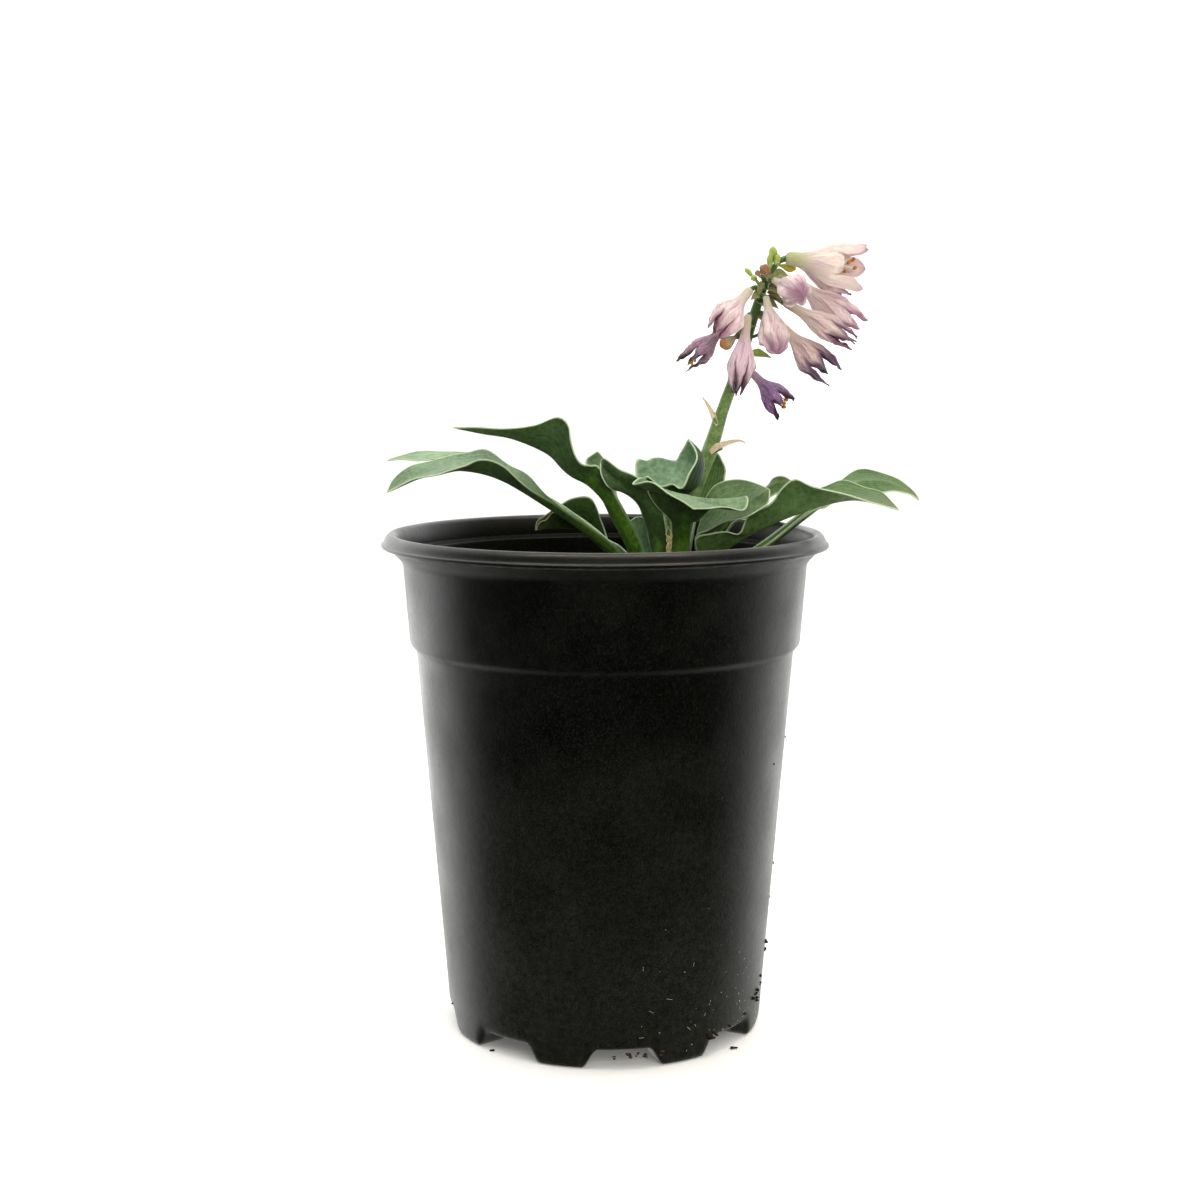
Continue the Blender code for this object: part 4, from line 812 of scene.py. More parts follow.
# What each flower looks like: its finish and how crumpled it is in millimetres. A closed one has
# the twist of its folds. An open one has `cup`, how far each lobe bulges, `blunt`, how late it
# narrows to its tip, and the length, flare and lean of each lobe. Some have stamens that show,
# and the youngest has a fuller bell (`full`) and softer folds (`fold`).
LOOKS = {
    "flower_01": dict(finish="fresh", crumple=0.3, cup=0.06, blunt=4.0, full=1.08, fold=0.3, lobes=[
        (0.99, 0.05, 0), (1.0, -0.07, 0), (1.0, -0.06, 0), (0.93, -0.02, 0.1), (0.3, 0.0, 0),
        (0.95, 0.1, -0.1)], stamens=[
        (0.73, 5.4, 200), (0.78, 1.8, 225), (0.83, 2.8, 215), (0.86, 1.2, 300), (0.75, 3.0, 320)]),
    "flower_02": dict(finish="pink", crumple=0.6, twist=0.5),
    "flower_03": dict(finish="pink", crumple=0.7, cup=0.14, blunt=1.7, lobes=[
        (1.0, -0.2, 0), (1.0, -0.1, 0), (1.0, -0.05, 0), (1.04, 0.0, 0.1), (0.93, -0.1, 0),
        (1.0, -0.15, 0.2)]),
    "flower_04": dict(finish="fading", crumple=0.8, cup=0.14, blunt=1.6, lobes=[
        (0.95, -0.3, 0.2), (1.0, -0.4, 0), (1.0, -0.2, 0), (0.98, -0.3, 0.2), (1.04, -0.35, 0),
        (1.0, -0.3, 0)]),
    "flower_05": dict(finish="worn", crumple=0.7, cup=0.12, blunt=1.4, lobes=[
        (1.12, -0.3, 0), (0.9, -0.3, 0), (0.96, -0.1, 0.1), (1.04, 0.1, 0.1), (0.7, -0.4, 0),
        (1.12, -0.3, 0)]),
    "flower_06": dict(finish="pink", crumple=0.9, twist=0.9),
    "flower_07": dict(finish="pink", crumple=0.6, cup=0.2, blunt=2.6, lobes=[
        (0.95, 0.0, 0), (1.0, -0.1, 0), (1.0, 0.0, 0), (1.0, 0.1, 0.1), (0.95, -0.1, -0.2),
        (0.95, 0.0, 0.2)]),
    "flower_08": dict(finish="wilted", crumple=0.9, cup=0.1, blunt=1.2, lobes=[
        (1.12, 0.1, 0), (0.9, 0.0, 0), (1.05, -0.1, 0), (1.15, -0.2, 0), (0.7, -0.2, 0),
        (1.2, 0.25, 0)], stamens=[(0.82, 0.8, 200), (0.9, 1.4, 240)]),
    "flower_09": dict(finish="slit", crumple=0.5, cup=0.2, blunt=3.0, lobes=[
        (0.97, -0.15, 0), (1.0, -0.2, 0), (0.97, -0.15, 0), (1.0, -0.1, 0.2), (0.95, -0.25, 0),
        (1.0, -0.12, -0.2)]),
    "flower_10": dict(finish="violet", crumple=0.8, cup=0.12, blunt=1.3, lobes=[
        (1.1, 0.05, 0), (0.85, 0.0, 0), (0.9, 0.15, 0), (1.06, 0.15, 0.2), (0.72, -0.1, 0),
        (1.2, 0.1, 0)], stamens=[(0.9, 0.8, 230), (0.96, 1.6, 280), (0.88, 2.2, 200)]),
    "flower_11": dict(finish="pink", crumple=0.7, cup=0.12, blunt=1.5, lobes=[
        (1.0, 0.1, 0)] * LOBES),
}

# Outline of a bell up to its lobes and of a closed bud: share of the length and share of the radius.
TUBE = ((0.0, 0.22), (0.04, 0.29), (0.22, 0.34), (0.34, 0.48), (0.46, 0.72), (0.62, 0.96))
LOBE_COLUMNS = 14
TUBE_ROWS = 22
LOBE_ROWS = 18
BUD = ((0.0, 0.20), (0.12, 0.24), (0.25, 0.34), (0.5, 0.80), (0.7, 1.0), (0.87, 0.72), (0.97, 0.25),
       (1.0, 0.02))


def aimed(base, mouth, points):
    """Points laid out along +Z, stood on `base` and pointing at `mouth`, in frame metres. Their +Y
    side is the one turned to the back of the plant."""
    ahead = unit(np.array(mouth, float) - base)
    across = unit(np.cross((0.0, 1.0, 0.0), ahead))
    return world(points @ np.stack([across, np.cross(ahead, across), ahead]) + base)


def crumpled(points, depth, seed):
    """Moves each point by up to `depth` in its own smooth random direction."""
    moved = [noise.noise_vector(Vector(p) * 0.42 + Vector((seed * 7.3, seed, 0.0))) for p in points]
    return points + np.array([tuple(m) for m in moved]) * depth


def folds(angle, share, seed):
    """How far a petal stands out, as a share of its distance from the axis: soft folds that run
    along the flower."""
    return np.array([1 + 0.3 * noise.noise(Vector((math.cos(a) * 2.6, math.sin(a) * 2.6,
                                                   share * 1.8 + seed * 5.1))) for a in angle])


def ring_points(reach, angle, height):
    """Points at this reach and angle round the Z axis, all at one height."""
    return np.stack([reach * np.cos(angle), reach * np.sin(angle), height + 0 * angle], 1)


def length_of(flower):
    """How long the flower is from the end of its stalk to its mouth."""
    return (Vector(flower["mouth"]) - Vector(flower["base"])).length


def bell(flower, look, seed):
    """An open flower: a narrow tube that widens into a bell and parts into six pointed lobes.
    Each lobe has its own length, spread and lean."""
    length = length_of(flower)
    radius, spread = flower["radius"], flower["spread"]
    sides = LOBES * LOBE_COLUMNS
    angle = turns(sides)
    seam = np.abs(2 * (np.arange(sides) % LOBE_COLUMNS) / LOBE_COLUMNS - 1)
    cup, blunt, fold_depth = look["cup"], look["blunt"], look.get("fold", 1.0)
    shares = np.linspace(0, TUBE[-1][0], TUBE_ROWS + 1)
    filling = np.minimum(shares * look.get("full", 1.0), TUBE[-1][0])
    widths = spaced(np.array(TUBE), 0.0, len(TUBE) - 1.0, 60)
    rows = []
    for share, wide in zip(shares, np.interp(filling, widths[:, 0], widths[:, 1]) * radius):
        open_share = float(smooth_step(share, 0.15, 0.62))
        pleat = 1 + open_share * (cup * (1 - seam**1.5) - 0.05)
        pleat = pleat * (1 + open_share * (folds(angle, share, seed) - 1) * fold_depth)
        rows.append((ring_points(wide * pleat, angle, share * length),
                     np.full(sides, share), angle, seam * open_share))
    faces = grid_faces(TUBE_ROWS + 1, sides)
    count = len(rows) * sides
    rows.append((np.array([[0.0, 0.0, -0.2]]), np.zeros(1), np.zeros(1), np.zeros(1)))
    faces += [(count, (j + 1) % sides, j) for j in range(sides)]
    last = TUBE_ROWS * sides
    count += 1
    side = np.linspace(-1, 1, LOBE_COLUMNS + 1)
    for lobe, (stretch, flare, lean) in enumerate(look["lobes"]):
        middle = (lobe + 0.5) * 2 * math.pi / LOBES
        row = [last + (lobe * LOBE_COLUMNS + j) % sides for j in range(LOBE_COLUMNS + 1)]
        under = 1.0 if lobe % 2 else 0.94
        for s in np.linspace(0, 1, LOBE_ROWS + 1)[1:]:
            share = TUBE[-1][0] + (1 - TUBE[-1][0]) * s * stretch
            out = radius * (0.96 + (spread + flare - 1) * s**1.6) * (1 + (under - 1) * min(1, 2 * s))
            half = math.pi / LOBES * max(0.0, 1 - s**blunt) ** 0.72
            fold = 1 + cup * (1 - np.abs(side)**1.5) - 0.05
            turn = middle + lean * s**1.5 + half * side
            fold = fold * (1 + (folds(turn, share, seed) - 1) * fold_depth)
            rows.append((ring_points(out * fold, turn, share * length),
                         np.full(len(side), share), middle + math.pi / LOBES * side, np.abs(side)))
            following = list(range(count, count + len(side)))
            count += len(side)
            faces += list(zip(row, row[1:], following[1:], following))
            row = following
    points, along, around, seams = (np.concatenate(part) for part in zip(*rows))
    depth = look["crumple"] * smooth_step(along, 0.25, 0.9)[:, None]
    return crumpled(points, depth, seed), faces, dict(along=along, around=around, seam=seams)


def bud(length, half_width, half_depth, groove, crumple, seed, rows=28, twist=0.8):
    """A closed bud or pod that stands on the origin, grooved where its lobes meet."""
    profile = spaced(np.array(BUD), 0.0, len(BUD) - 1.0, 80)
    sides = 36
    angle = turns(sides)
    parts = []
    for share in 1 - (1 - np.linspace(0, 1, rows)) ** 1.2:
        wide = np.interp(share, profile[:, 0], profile[:, 1])
        seam = np.abs(np.cos((angle + share * twist) * LOBES / 2)) ** 4
        reach = wide * half_width * (1 - groove * seam * float(smooth_step(share, 0.2, 0.5)))
        reach = reach * (1 + groove * (folds(angle, share, seed) - 1))
        ring = ring_points(reach, angle, share * length)
        parts.append((ring * (1, half_depth / half_width, 1), np.full(sides, share), angle, seam))
    faces = grid_faces(rows, sides)
    faces.append(tuple(range(sides))[::-1])
    faces.append(tuple(range((rows - 1) * sides, rows * sides)))
    points, along, around, seams = (np.concatenate(part) for part in zip(*parts))
    points = crumpled(points, crumple * smooth_step(along, 0.1, 0.9)[:, None], seed)
    return points, faces, dict(along=along, around=around, seam=seams)


def stamens(flower, places):
    """Curved threads out of the flower's throat, each with a ripe anther across its end. `places`
    holds the height, distance from the axis and angle of each anther."""
    length = length_of(flower)
    parts = []
    for share, away, degrees in places:
        way = np.array([math.cos(math.radians(degrees)), math.sin(math.radians(degrees)), 0.0])
        end = way * away + (0, 0, share * length)
        start = way * 0.4 + (0, 0, 0.3 * length)
        line = spaced(np.array([start, (start + end) / 2 - way * 0.6, end]), 0.0, 2.0, 12)
        parts.append((*tube(line, np.full(13, THREAD_RADIUS), 8), 1))
        across = np.cross(way, (0.0, 0.0, 1.0)) * 0.6 + way * 0.5 + (0.0, 0.0, 0.5)
        anther = end + across * np.linspace(-1.1, 1.1, 9)[:, None]
        taper = np.sqrt(1.05 - np.linspace(-1, 1, 9)**4)
        parts.append((*tube(anther, ANTHER_RADIUS * taper, 10), 2))
    return parts


def add_flower(name, flower, look, finishes, seed):
    """One flower, with its stamens where they show."""
    if flower["spread"]:
        points, faces, marks = bell(flower, look, seed)
    else:
        points, faces, marks = bud(length_of(flower), flower["radius"], flower["radius"], 0.3,
                                   look["crumple"], seed, 48, look["twist"])
    parts = [(points, faces, 0)] + stamens(flower, look.get("stamens", ()))
    points, faces, kinds = scatter(parts)
    marks = {key: np.concatenate([value, np.zeros(len(points) - len(value))])
             for key, value in marks.items()}
    points = aimed(flower["base"], flower["mouth"], points)
    piece = add_piece("fine_" + name, points, faces, finishes, marks, kinds)
    if flower["spread"]:
        shell = piece.modifiers.new("petal", "SOLIDIFY")
        shell.thickness = PETAL_THICK * MM
        shell.offset = -1.0
    return piece


# Pot

POT_COLUMNS = 360
FOOT_COUNT = 8
FIRST_FOOT_DEG = -16.0
FOOT_HEIGHT = 6.8
# Half of a foot's sole, and the distance from its middle at which the arch is full, along a circle
# of this radius.
FOOT_CIRCLE = 57.0
SOLE_HALF = 7.6
ARCH_FULL = 13.2
FLOOR_TOP = 8.3
DRAIN_CIRCLE = 46.0
DRAIN_RADIUS = 4.5


def wall_profile():
    """(radius, height) down the outside, from the rim's crest to the bottom corner."""
    return [
        (RIM_RADIUS - 5.8, RIM_HEIGHT - 1.5), (RIM_RADIUS - 4.8, RIM_HEIGHT - 0.4),
        (RIM_RADIUS - 3.2, RIM_HEIGHT), (RIM_RADIUS - 1.7, RIM_HEIGHT - 1.4),
        (RIM_RADIUS - 0.8, RIM_HEIGHT - 3.7), (RIM_RADIUS, RIM_HEIGHT - 4.1),
        (RIM_RADIUS, RIM_HEIGHT - 5.1), (RIM_RADIUS - 3.4, RIM_HEIGHT - 5.9),
        (RIM_RADIUS - 5.2, RIM_HEIGHT - 7.9), (75.5, 175.6), (74.6, 174.0), (72.4, 145.2),
        (71.8, 144.0), (70.0, 142.2), (59.3, 11.0),
    ]


def inner_profile():
    """(radius, height) up the inside, from the floor's edge to the rim's crest."""
    return [
        (56.0, FLOOR_TOP), (58.1, 12.0), (68.8, 142.6), (71.2, 145.6), (73.5, 176.2),
        (76.1, 177.2), (RIM_RADIUS - 5.8, RIM_HEIGHT - 1.5),
    ]


def rounded(corners, radius, steps=4):
    """The line with each corner cut back and rounded."""
    line = [np.array(corners[0], float)]
    for before, corner, after in zip(corners, corners[1:], corners[2:]):
        before, corner, after = (np.array(p, float) for p in (before, corner, after))
        cuts = []
        for other in (before, after):
            gap = np.linalg.norm(other - corner)
            cuts.append(corner + (other - corner) / gap * min(radius, 0.42 * gap))
        for t in np.linspace(0, 1, steps + 1):
            line.append((1 - t)**2 * cuts[0] + 2 * t * (1 - t) * corner + t**2 * cuts[1])
    return line + [np.array(corners[-1], float)]


def filled(line, longest):
    """The line with more points, so that no step is longer than `longest`."""
    made = [line[0]]
    for a, b in zip(line, line[1:]):
        count = max(1, math.ceil(np.linalg.norm(b - a) / longest))
        made += [a + (b - a) * k / count for k in range(1, count + 1)]
    return made


def foot_level():
    """For each column round the pot, 0 on the sole of a foot and 1 between the feet."""
    degrees = np.arange(POT_COLUMNS) * 360 / POT_COLUMNS
    pitch = 360 / FOOT_COUNT
    gap = (degrees - FIRST_FOOT_DEG + pitch / 2) % pitch - pitch / 2
    return smooth_step(np.abs(np.radians(gap)) * FOOT_CIRCLE, SOLE_HALF, ARCH_FULL)


def pot_rows():
    """The pot's surface as rows of (radius, height) for every column, from the crest down the
    outside, over the feet, to the middle of the base, and back up the inside."""
    rise = foot_level()
    outside = filled(rounded(wall_profile(), 1.2), 6.0)
    rows = [np.tile(point, (POT_COLUMNS, 1)) for point in outside]
    # Between the feet the wall turns under; on a foot it runs down to the floor.
    base = FOOT_HEIGHT
    turned = [((59.2, 9.8), (59.2, 8.8)), ((58.9, 8.6), (58.9, 5.0)), ((58.4, 7.6), (58.5, 2.2)),
              ((57.7, 6.95), (57.9, 0.7)), ((56.9, base), (57.0, 0.12)), ((56.0, base), (56.0, 0.0)),
              ((52.0, base), (52.0, 0.0)), ((47.5, base), (47.5, 0.0)), ((46.4, base), (46.4, 0.3)),
              ((45.2, base), (45.0, 2.0)), ((44.0, base), (43.8, 6.0))]
    turned += [((radius, base), (radius, base)) for radius in (42.5, 30.0, 15.0, 0.5)]
    for between, on_foot in turned:
        between, on_foot = np.array(between), np.array(on_foot)
        rows.append(on_foot + (between - on_foot) * rise[:, None])
    middle = len(rows)
    floor = [(0.5, FLOOR_TOP), (15.0, FLOOR_TOP), (30.0, FLOOR_TOP), (45.0, FLOOR_TOP)]
    inside = filled(rounded(inner_profile(), 0.6), 8.0)
    rows += [np.tile(point, (POT_COLUMNS, 1)) for point in floor + inside[:-1]]
    return rows, middle


def round_pot(radius, angle):
    """The (x, y) at this distance from the pot's axis. The angle counts from the front to the right."""
    return radius * math.sin(angle), -radius * math.cos(angle)


def cut_drains(pot):
    """Cuts the drainage holes through the base, one in each gap between the feet."""
    parts = []
    for i in range(FOOT_COUNT):
        turn = math.radians(FIRST_FOOT_DEG + (i + 0.5) * 360 / FOOT_COUNT)
        x, y = round_pot(DRAIN_CIRCLE, turn)
        parts.append((*tube([(x, y, 4.0), (x, y, 11.0)], [DRAIN_RADIUS] * 2, 24), 0))
    points, faces, _ = scatter(parts)
    cutter = add_piece("drain_cutter", world(points), faces, [])
    pot.modifiers.new("drains", "BOOLEAN").object = cutter
    graph = bpy.context.evaluated_depsgraph_get()
    pot.data = bpy.data.meshes.new_from_object(pot.evaluated_get(graph))
    pot.modifiers.clear()
    bpy.data.objects.remove(cutter)


def add_pot(finish):
    """The whole pot as one closed skin, with its drainage holes."""
    rows, middle = pot_rows()
    angle = turns(POT_COLUMNS)
    points = []
    for row in rows:
        points += list(np.stack([row[:, 0] * np.sin(angle), -row[:, 0] * np.cos(angle), row[:, 1]], 1))
    faces = grid_faces(len(rows), POT_COLUMNS)
    # The two rings at the middle of the base close in fans, so the step between them goes.
    cut = (middle - 1) * POT_COLUMNS
    faces = [f for f in faces if not cut <= f[0] < cut + POT_COLUMNS]
    faces.append(tuple(range(cut, cut + POT_COLUMNS)))
    faces.append(tuple(range(middle * POT_COLUMNS, (middle + 1) * POT_COLUMNS))[::-1])
    end = (len(rows) - 1) * POT_COLUMNS
    faces += [(end + j, end + (j + 1) % POT_COLUMNS, (j + 1) % POT_COLUMNS, j)
              for j in range(POT_COLUMNS)]
    inside = np.arange(len(rows)) >= middle
    heights = np.array([row[0, 1] for row in rows])
    inside = np.where(inside, smooth_step(RIM_HEIGHT - heights, 2.0, 4.0), 0.0)
    pot = add_piece("nursery_pot", world(points), [f[::-1] for f in faces], [finish],
                    dict(inside=inside.repeat(POT_COLUMNS)))
    cut_drains(pot)
    return pot


# Soil


def chip(size, draw, long=1.0, flat=1.0):
    """A broken lump: a coarse ball, stretched, flattened and knocked about."""
    made = []
    rows, columns = 4, 6
    for i in range(1, rows):
        polar = math.pi * i / rows
        for j in range(columns):
            turn = 2 * math.pi * j / columns
            knock = draw.uniform(0.72, 1.2)
            made.append((math.sin(polar) * math.cos(turn) * knock * long,
                         math.sin(polar) * math.sin(turn) * knock, math.cos(polar) * flat * knock))
    made += [(0, 0, flat), (0, 0, -flat)]
    faces = [f[::-1] for f in grid_faces(rows - 1, columns)]
    top, bottom, last = len(made) - 2, len(made) - 1, (rows - 2) * columns
    for j in range(columns):
        k = (j + 1) % columns
        faces += [(top, j, k), (bottom, last + k, last + j)]
    turn = Matrix.Rotation(draw.uniform(0, 6.28), 3, "Z") @ Matrix.Rotation(draw.normal(0, 0.35), 3, "X")
    return np.array(made) * size @ np.array(turn).T, faces


SOIL_TOP_RADIUS = 71.3
# The soil's side and underside, as (radius, height), and the loose pieces strewn on its top.
SOIL_SIDE = ((71.0, 148.0), (70.6, 145.8), (68.4, 142.0), (57.8, 12.8), (54.8, 8.7), (0.6, 8.7))
SOIL_CHIPS = 900
PERLITE_SHARE = 0.10
BARK_SHARE = 0.45


def soil_height(x, y):
    """A low mound under the crown, with the lumps of a coarse mix."""
    away = math.hypot(x, y)
    mound = 155.0 + 3.0 * (1 - min(1.0, away / 70)) ** 0.8
    lump = noise.noise(Vector((x, y, 0)) * 0.16) * 0.9 + noise.noise(Vector((x, y, 9)) * 0.5) * 0.5
    return mound - 0.6 + lump * 0.7


def add_soil(peat, bark, perlite):
    """The potting mix: a mound strewn with lumps of peat, bark and perlite."""
    columns, rings = 120, 44
    points = []
    for radius in np.linspace(0.6, SOIL_TOP_RADIUS, rings):
        for j in range(columns):
            x, y = round_pot(radius, 2 * math.pi * j / columns)
            points.append((x, y, soil_height(x, y)))
    for radius, height in SOIL_SIDE:
        for j in range(columns):
            points.append((*round_pot(radius, 2 * math.pi * j / columns), height))
    rows = rings + len(SOIL_SIDE)
    faces = [f[::-1] for f in grid_faces(rows, columns)]
    faces.append(tuple(range(columns)))
    faces.append(tuple(range((rows - 1) * columns, rows * columns))[::-1])
    draw = np.random.RandomState(11)
    chips = [(np.array(points), faces, 0)]
    for _ in range(SOIL_CHIPS):
        angle, radius = draw.uniform(0, 2 * math.pi), SOIL_TOP_RADIUS * math.sqrt(draw.uniform(0, 0.93))
        x, y = round_pot(radius, angle)
        pick = draw.uniform()
        if pick < PERLITE_SHARE:
            some, flats = chip(draw.uniform(0.8, 1.7), draw)
            kind = 2
        elif pick < PERLITE_SHARE + BARK_SHARE:
            some, flats = chip(draw.uniform(1.4, 3.2), draw, draw.uniform(1.2, 2.2), 0.4)
            kind = 1
        else:
            some, flats = chip(draw.uniform(0.7, 1.8), draw, draw.uniform(1.0, 1.6), 0.7)
            kind = 0
        chips.append((some + (x, y, soil_height(x, y) + 0.15), flats, kind))
    points, faces, kinds = scatter(chips)
    return add_piece("potting_mix", world(points), faces, [peat, bark, perlite], kinds=kinds)


# Stem, stalks and bracts

# Centre line and radius of the stem, from the soil to its top.
STEM = [
    (26, 6.5, 151, 2.9), (27, 8.5, 165, 3.0), (28.8, 11.5, 183.3, 3.0), (33.9, 14.5, 200.2, 3.0),
    (39.4, 15, 214.2, 2.9), (43.4, 14.5, 227.2, 2.4), (47.2, 14, 238.2, 2.1), (51.9, 13, 252.3, 1.9),
    (55.9, 12, 266.3, 1.8), (58.9, 11.5, 275.3, 1.5), (61.4, 11, 280.8, 1.2),
]


def stem_place(height):
    """The stem's centre and radius at this height."""
    heights = [row[2] for row in STEM]
    return np.array([np.interp(height, heights, [row[k] for row in STEM]) for k in range(4)])


def ribbon(line, halves, thick, cup, face):
    """A thin strip along a line, hollow on its `face` side, as points and faces."""
    line, sides = spaced(np.array(line, float), 0.0, len(line) - 1.0, 24), 16
    wide = spaced(np.array(halves, float)[:, None].repeat(2, 1), 0.0, len(halves) - 1.0, 24)[:, :1]
    ahead = unit(np.gradient(line, axis=0))
    side = unit(np.cross(ahead, face))
    over = np.cross(ahead, side)
    angle = turns(sides)
    rise = np.sin(angle) * thick / 2 * np.minimum(1.0, wide / 0.3) - cup * wide * np.cos(angle)**2
    points = (line[:, None] + side[:, None] * (np.cos(angle) * wide)[..., None]
              + over[:, None] * rise[..., None])
    faces = grid_faces(len(line), sides)
    faces.append(tuple(range(sides))[::-1])
    faces.append(tuple(range(len(line) * sides - sides, len(line) * sides)))
    return points.reshape(-1, 3), faces


# Small bracts that hang where the flower stalks leave the scape: line and half widths.
JOINT_BRACTS = [
    (((61.6, 9.4, 277.0), (62.6, 8.6, 275.4), (63.6, 8.4, 272.8)), (0.9, 1.8, 0.2)),
    (((60.2, 8.4, 273.2), (62.8, 6.6, 271.6), (65.6, 5.8, 269.4)), (0.9, 1.4, 0.1)),
    (((61.4, 8.0, 271.4), (63.4, 6.6, 270.0), (65.2, 6.4, 268.2)), (0.6, 1.1, 0.2)),
    (((58.2, 9.4, 276.6), (57.2, 8.6, 274.0), (56.7, 8.6, 270.4)), (0.8, 1.5, 0.1)),
    (((59.8, 9.2, 279.6), (60.8, 8.4, 277.2), (61.8, 8.4, 274.6)), (0.9, 1.6, 0.2)),
    (((52.6, 10.4, 262.4), (50.8, 9.6, 261.0), (49.6, 9.6, 263.4)), (0.7, 1.5, 0.1)),
]


def add_stem(skin, bract):
    """The scape, a stalk for every flower, bud and pod, and the small bract under each flower."""
    knots = np.array(STEM, float)
    rows = spaced(knots, 0.0, len(knots) - 1.0, 90)
    way = np.arange(len(rows))
    swell = 1 + 0.02 * np.sin(way * 0.9)
    points, faces = tube(rows[:, :3], rows[:, 3] * swell, 28)
    parts = [(points, faces, 0)]
    draw = np.random.RandomState(3)
    for flower in FLOWERS.values():
        start = stem_place(flower["joins"])[:3]
        end = np.array(flower["base"], float)
        ahead = unit(np.array(flower["mouth"], float) - end)
        bend = start + (end - start) * 0.6 + np.array([0.0, 0.0, 0.8]) - ahead * 0.5
        line = spaced(np.array([start, bend, end + ahead * 0.6]), 0.0, 2.0, 14)
        thick = np.interp(np.linspace(0, 1, 15), [0, 0.2, 0.8, 1], [1.15, 0.85, 0.9, 1.15])
        parts.append((*tube(line, thick, 14), 0))
        out = unit(unit(end - start) * (1, 0.6, 0.5) + (0, -0.5, -0.25))
        root = start + out * 1.2 - (0, 0.6, 1.0)
        reach = draw.uniform(6.0, 9.0)
        strip = [root, root + out * reach * 0.45 + (0, -0.6, 0.2),
                 root + out * reach + (0, 0.6, -0.8)]
        parts.append((*ribbon(strip, [1.2, 2.3, 0.1], 0.5, 0.45, (0.2, -1, 0.5)), 1))
    for base, tip, *_ in BUDS.values():
        end = np.array(base, float)
        start = stem_place(min(end[2] - 1.5, STEM[-1][2]))[:3]
        if np.linalg.norm(end - start) < 12:
            inside = end + unit(np.array(tip, float) - end) * 0.5
            line = spaced(np.array([start, (start + end) / 2 - (0, 0, 0.5), inside]), 0.0, 2.0, 10)
            parts.append((*tube(line, np.full(11, 0.6), 10), 0))
    for strip, halves in JOINT_BRACTS:
        parts.append((*ribbon(strip, halves, 0.5, 0.5, (0.1, -1, 0.4)), 1))
    points, faces, kinds = scatter(parts)
    # The scape is a darker green near the flowers.
    along = smooth_step(points[:, 2], 208.0, 264.0)
    return add_piece("flower_scape", world(points), faces, [skin, bract], dict(along=along), kinds)


# Bracts that are strips: the line each follows and its half width along the way.
STRIPS = {
    "bract_left": (((41.8, 12, 223.8), (40.7, 10.2, 226.4), (39.1, 9, 229.9), (37.2, 8.2, 232.9),
                    (36.3, 8, 234.2), (36.7, 7.6, 234.7)), (0.6, 1.0, 1.1, 0.7, 0.4, 0.15)),
    "bract_right": (((39.4, 11.8, 213.4), (41.6, 11, 215.5), (43.8, 10.5, 216.5), (47.7, 10, 217.8),
                     (50.7, 9.5, 218.1), (52.3, 9, 217.2)), (0.9, 1.3, 1.0, 0.9, 0.6, 0.15)),
    "bract_low": (((53.4, 10, 250.3), (56, 8.4, 250.5), (58.8, 6.8, 249.8), (61.5, 5, 248.8)),
                  (0.7, 1.7, 1.6, 0.1)),
}
# Small buds that crowd round the ones in the table: base, tip and half width.
CROWD = {
    "top_bud": [((62.8, 11.6, 279.6), (64.0, 9.8, 287.0), 1.5), ((61.0, 11.6, 278.0),
                (60.9, 10.2, 287.4), 1.2)],
    "bud_brown": [((58.2, 7.4, 278.2), (60.4, 6.2, 281.3), 1.2), ((57.2, 7.2, 278.0),
                  (55.6, 5.2, 280.4), 1.1)],
    "bract_green": [((57.0, 13.2, 276.4), (54.2, 12.2, 279.2), 1.2)],
}


def add_bud(name, row, finish, seed):
    """A bud, pod or bract of the table, with any small ones that crowd round it."""
    base, tip, half_width, half_depth, _ = row
    if name in STRIPS:
        line, halves = STRIPS[name]
        points, faces = ribbon(line, halves, 0.5, 0.45, (0, -1, 0.4))
        along = np.linspace(0, 1, len(points))
        return add_piece("fine_" + name, world(points), faces, [finish], dict(along=along))
    parts = []
    marks = []
    for start, end, half in [(base, tip, half_width)] + CROWD.get(name, []):
        length = (Vector(end) - Vector(start)).length
        some, faces, mark = bud(length, half, half * half_depth / half_width, 0.14,
                                0.7 if name == "bud_brown" else 0.3, seed)
        some = (np.array(aimed(start, end, some)) - AXIS) / MM
        parts.append((some, faces, 0))
        marks.append(mark)
    points, faces, _ = scatter(parts)
    marks = {key: np.concatenate([mark[key] for mark in marks]) for key in marks[0]}
    return add_piece("fine_" + name, world(points), faces, [finish], marks)


ROOT_HAIRS = 20
# Crumbs that cling to the pot: angle round it from the front, height and size.
CRUMBS = [
    (84, 109.0, 0.9), (66, 103.0, 0.6), (84, 61.0, 0.9), (85, 47.5, 0.8), (80, 31.5, 1.6),
    (82, 28.0, 1.3), (74, 20.5, 1.3), (70, 15.5, 2.0), (66, 14.0, 1.6), (72, 12.5, 1.4), (76, 17.0, 1.2),
    (60, 10.5, 0.8), (-74, 9.5, 1.0), (50, 8.6, 0.7), (20, 5.4, 1.5), (14, 5.0, 1.3), (8, 5.2, 1.5),
    (3, 4.8, 1.0), (11, 5.6, 1.2), (39, 7.4, 2.2), (42, 8.0, 1.2),
]


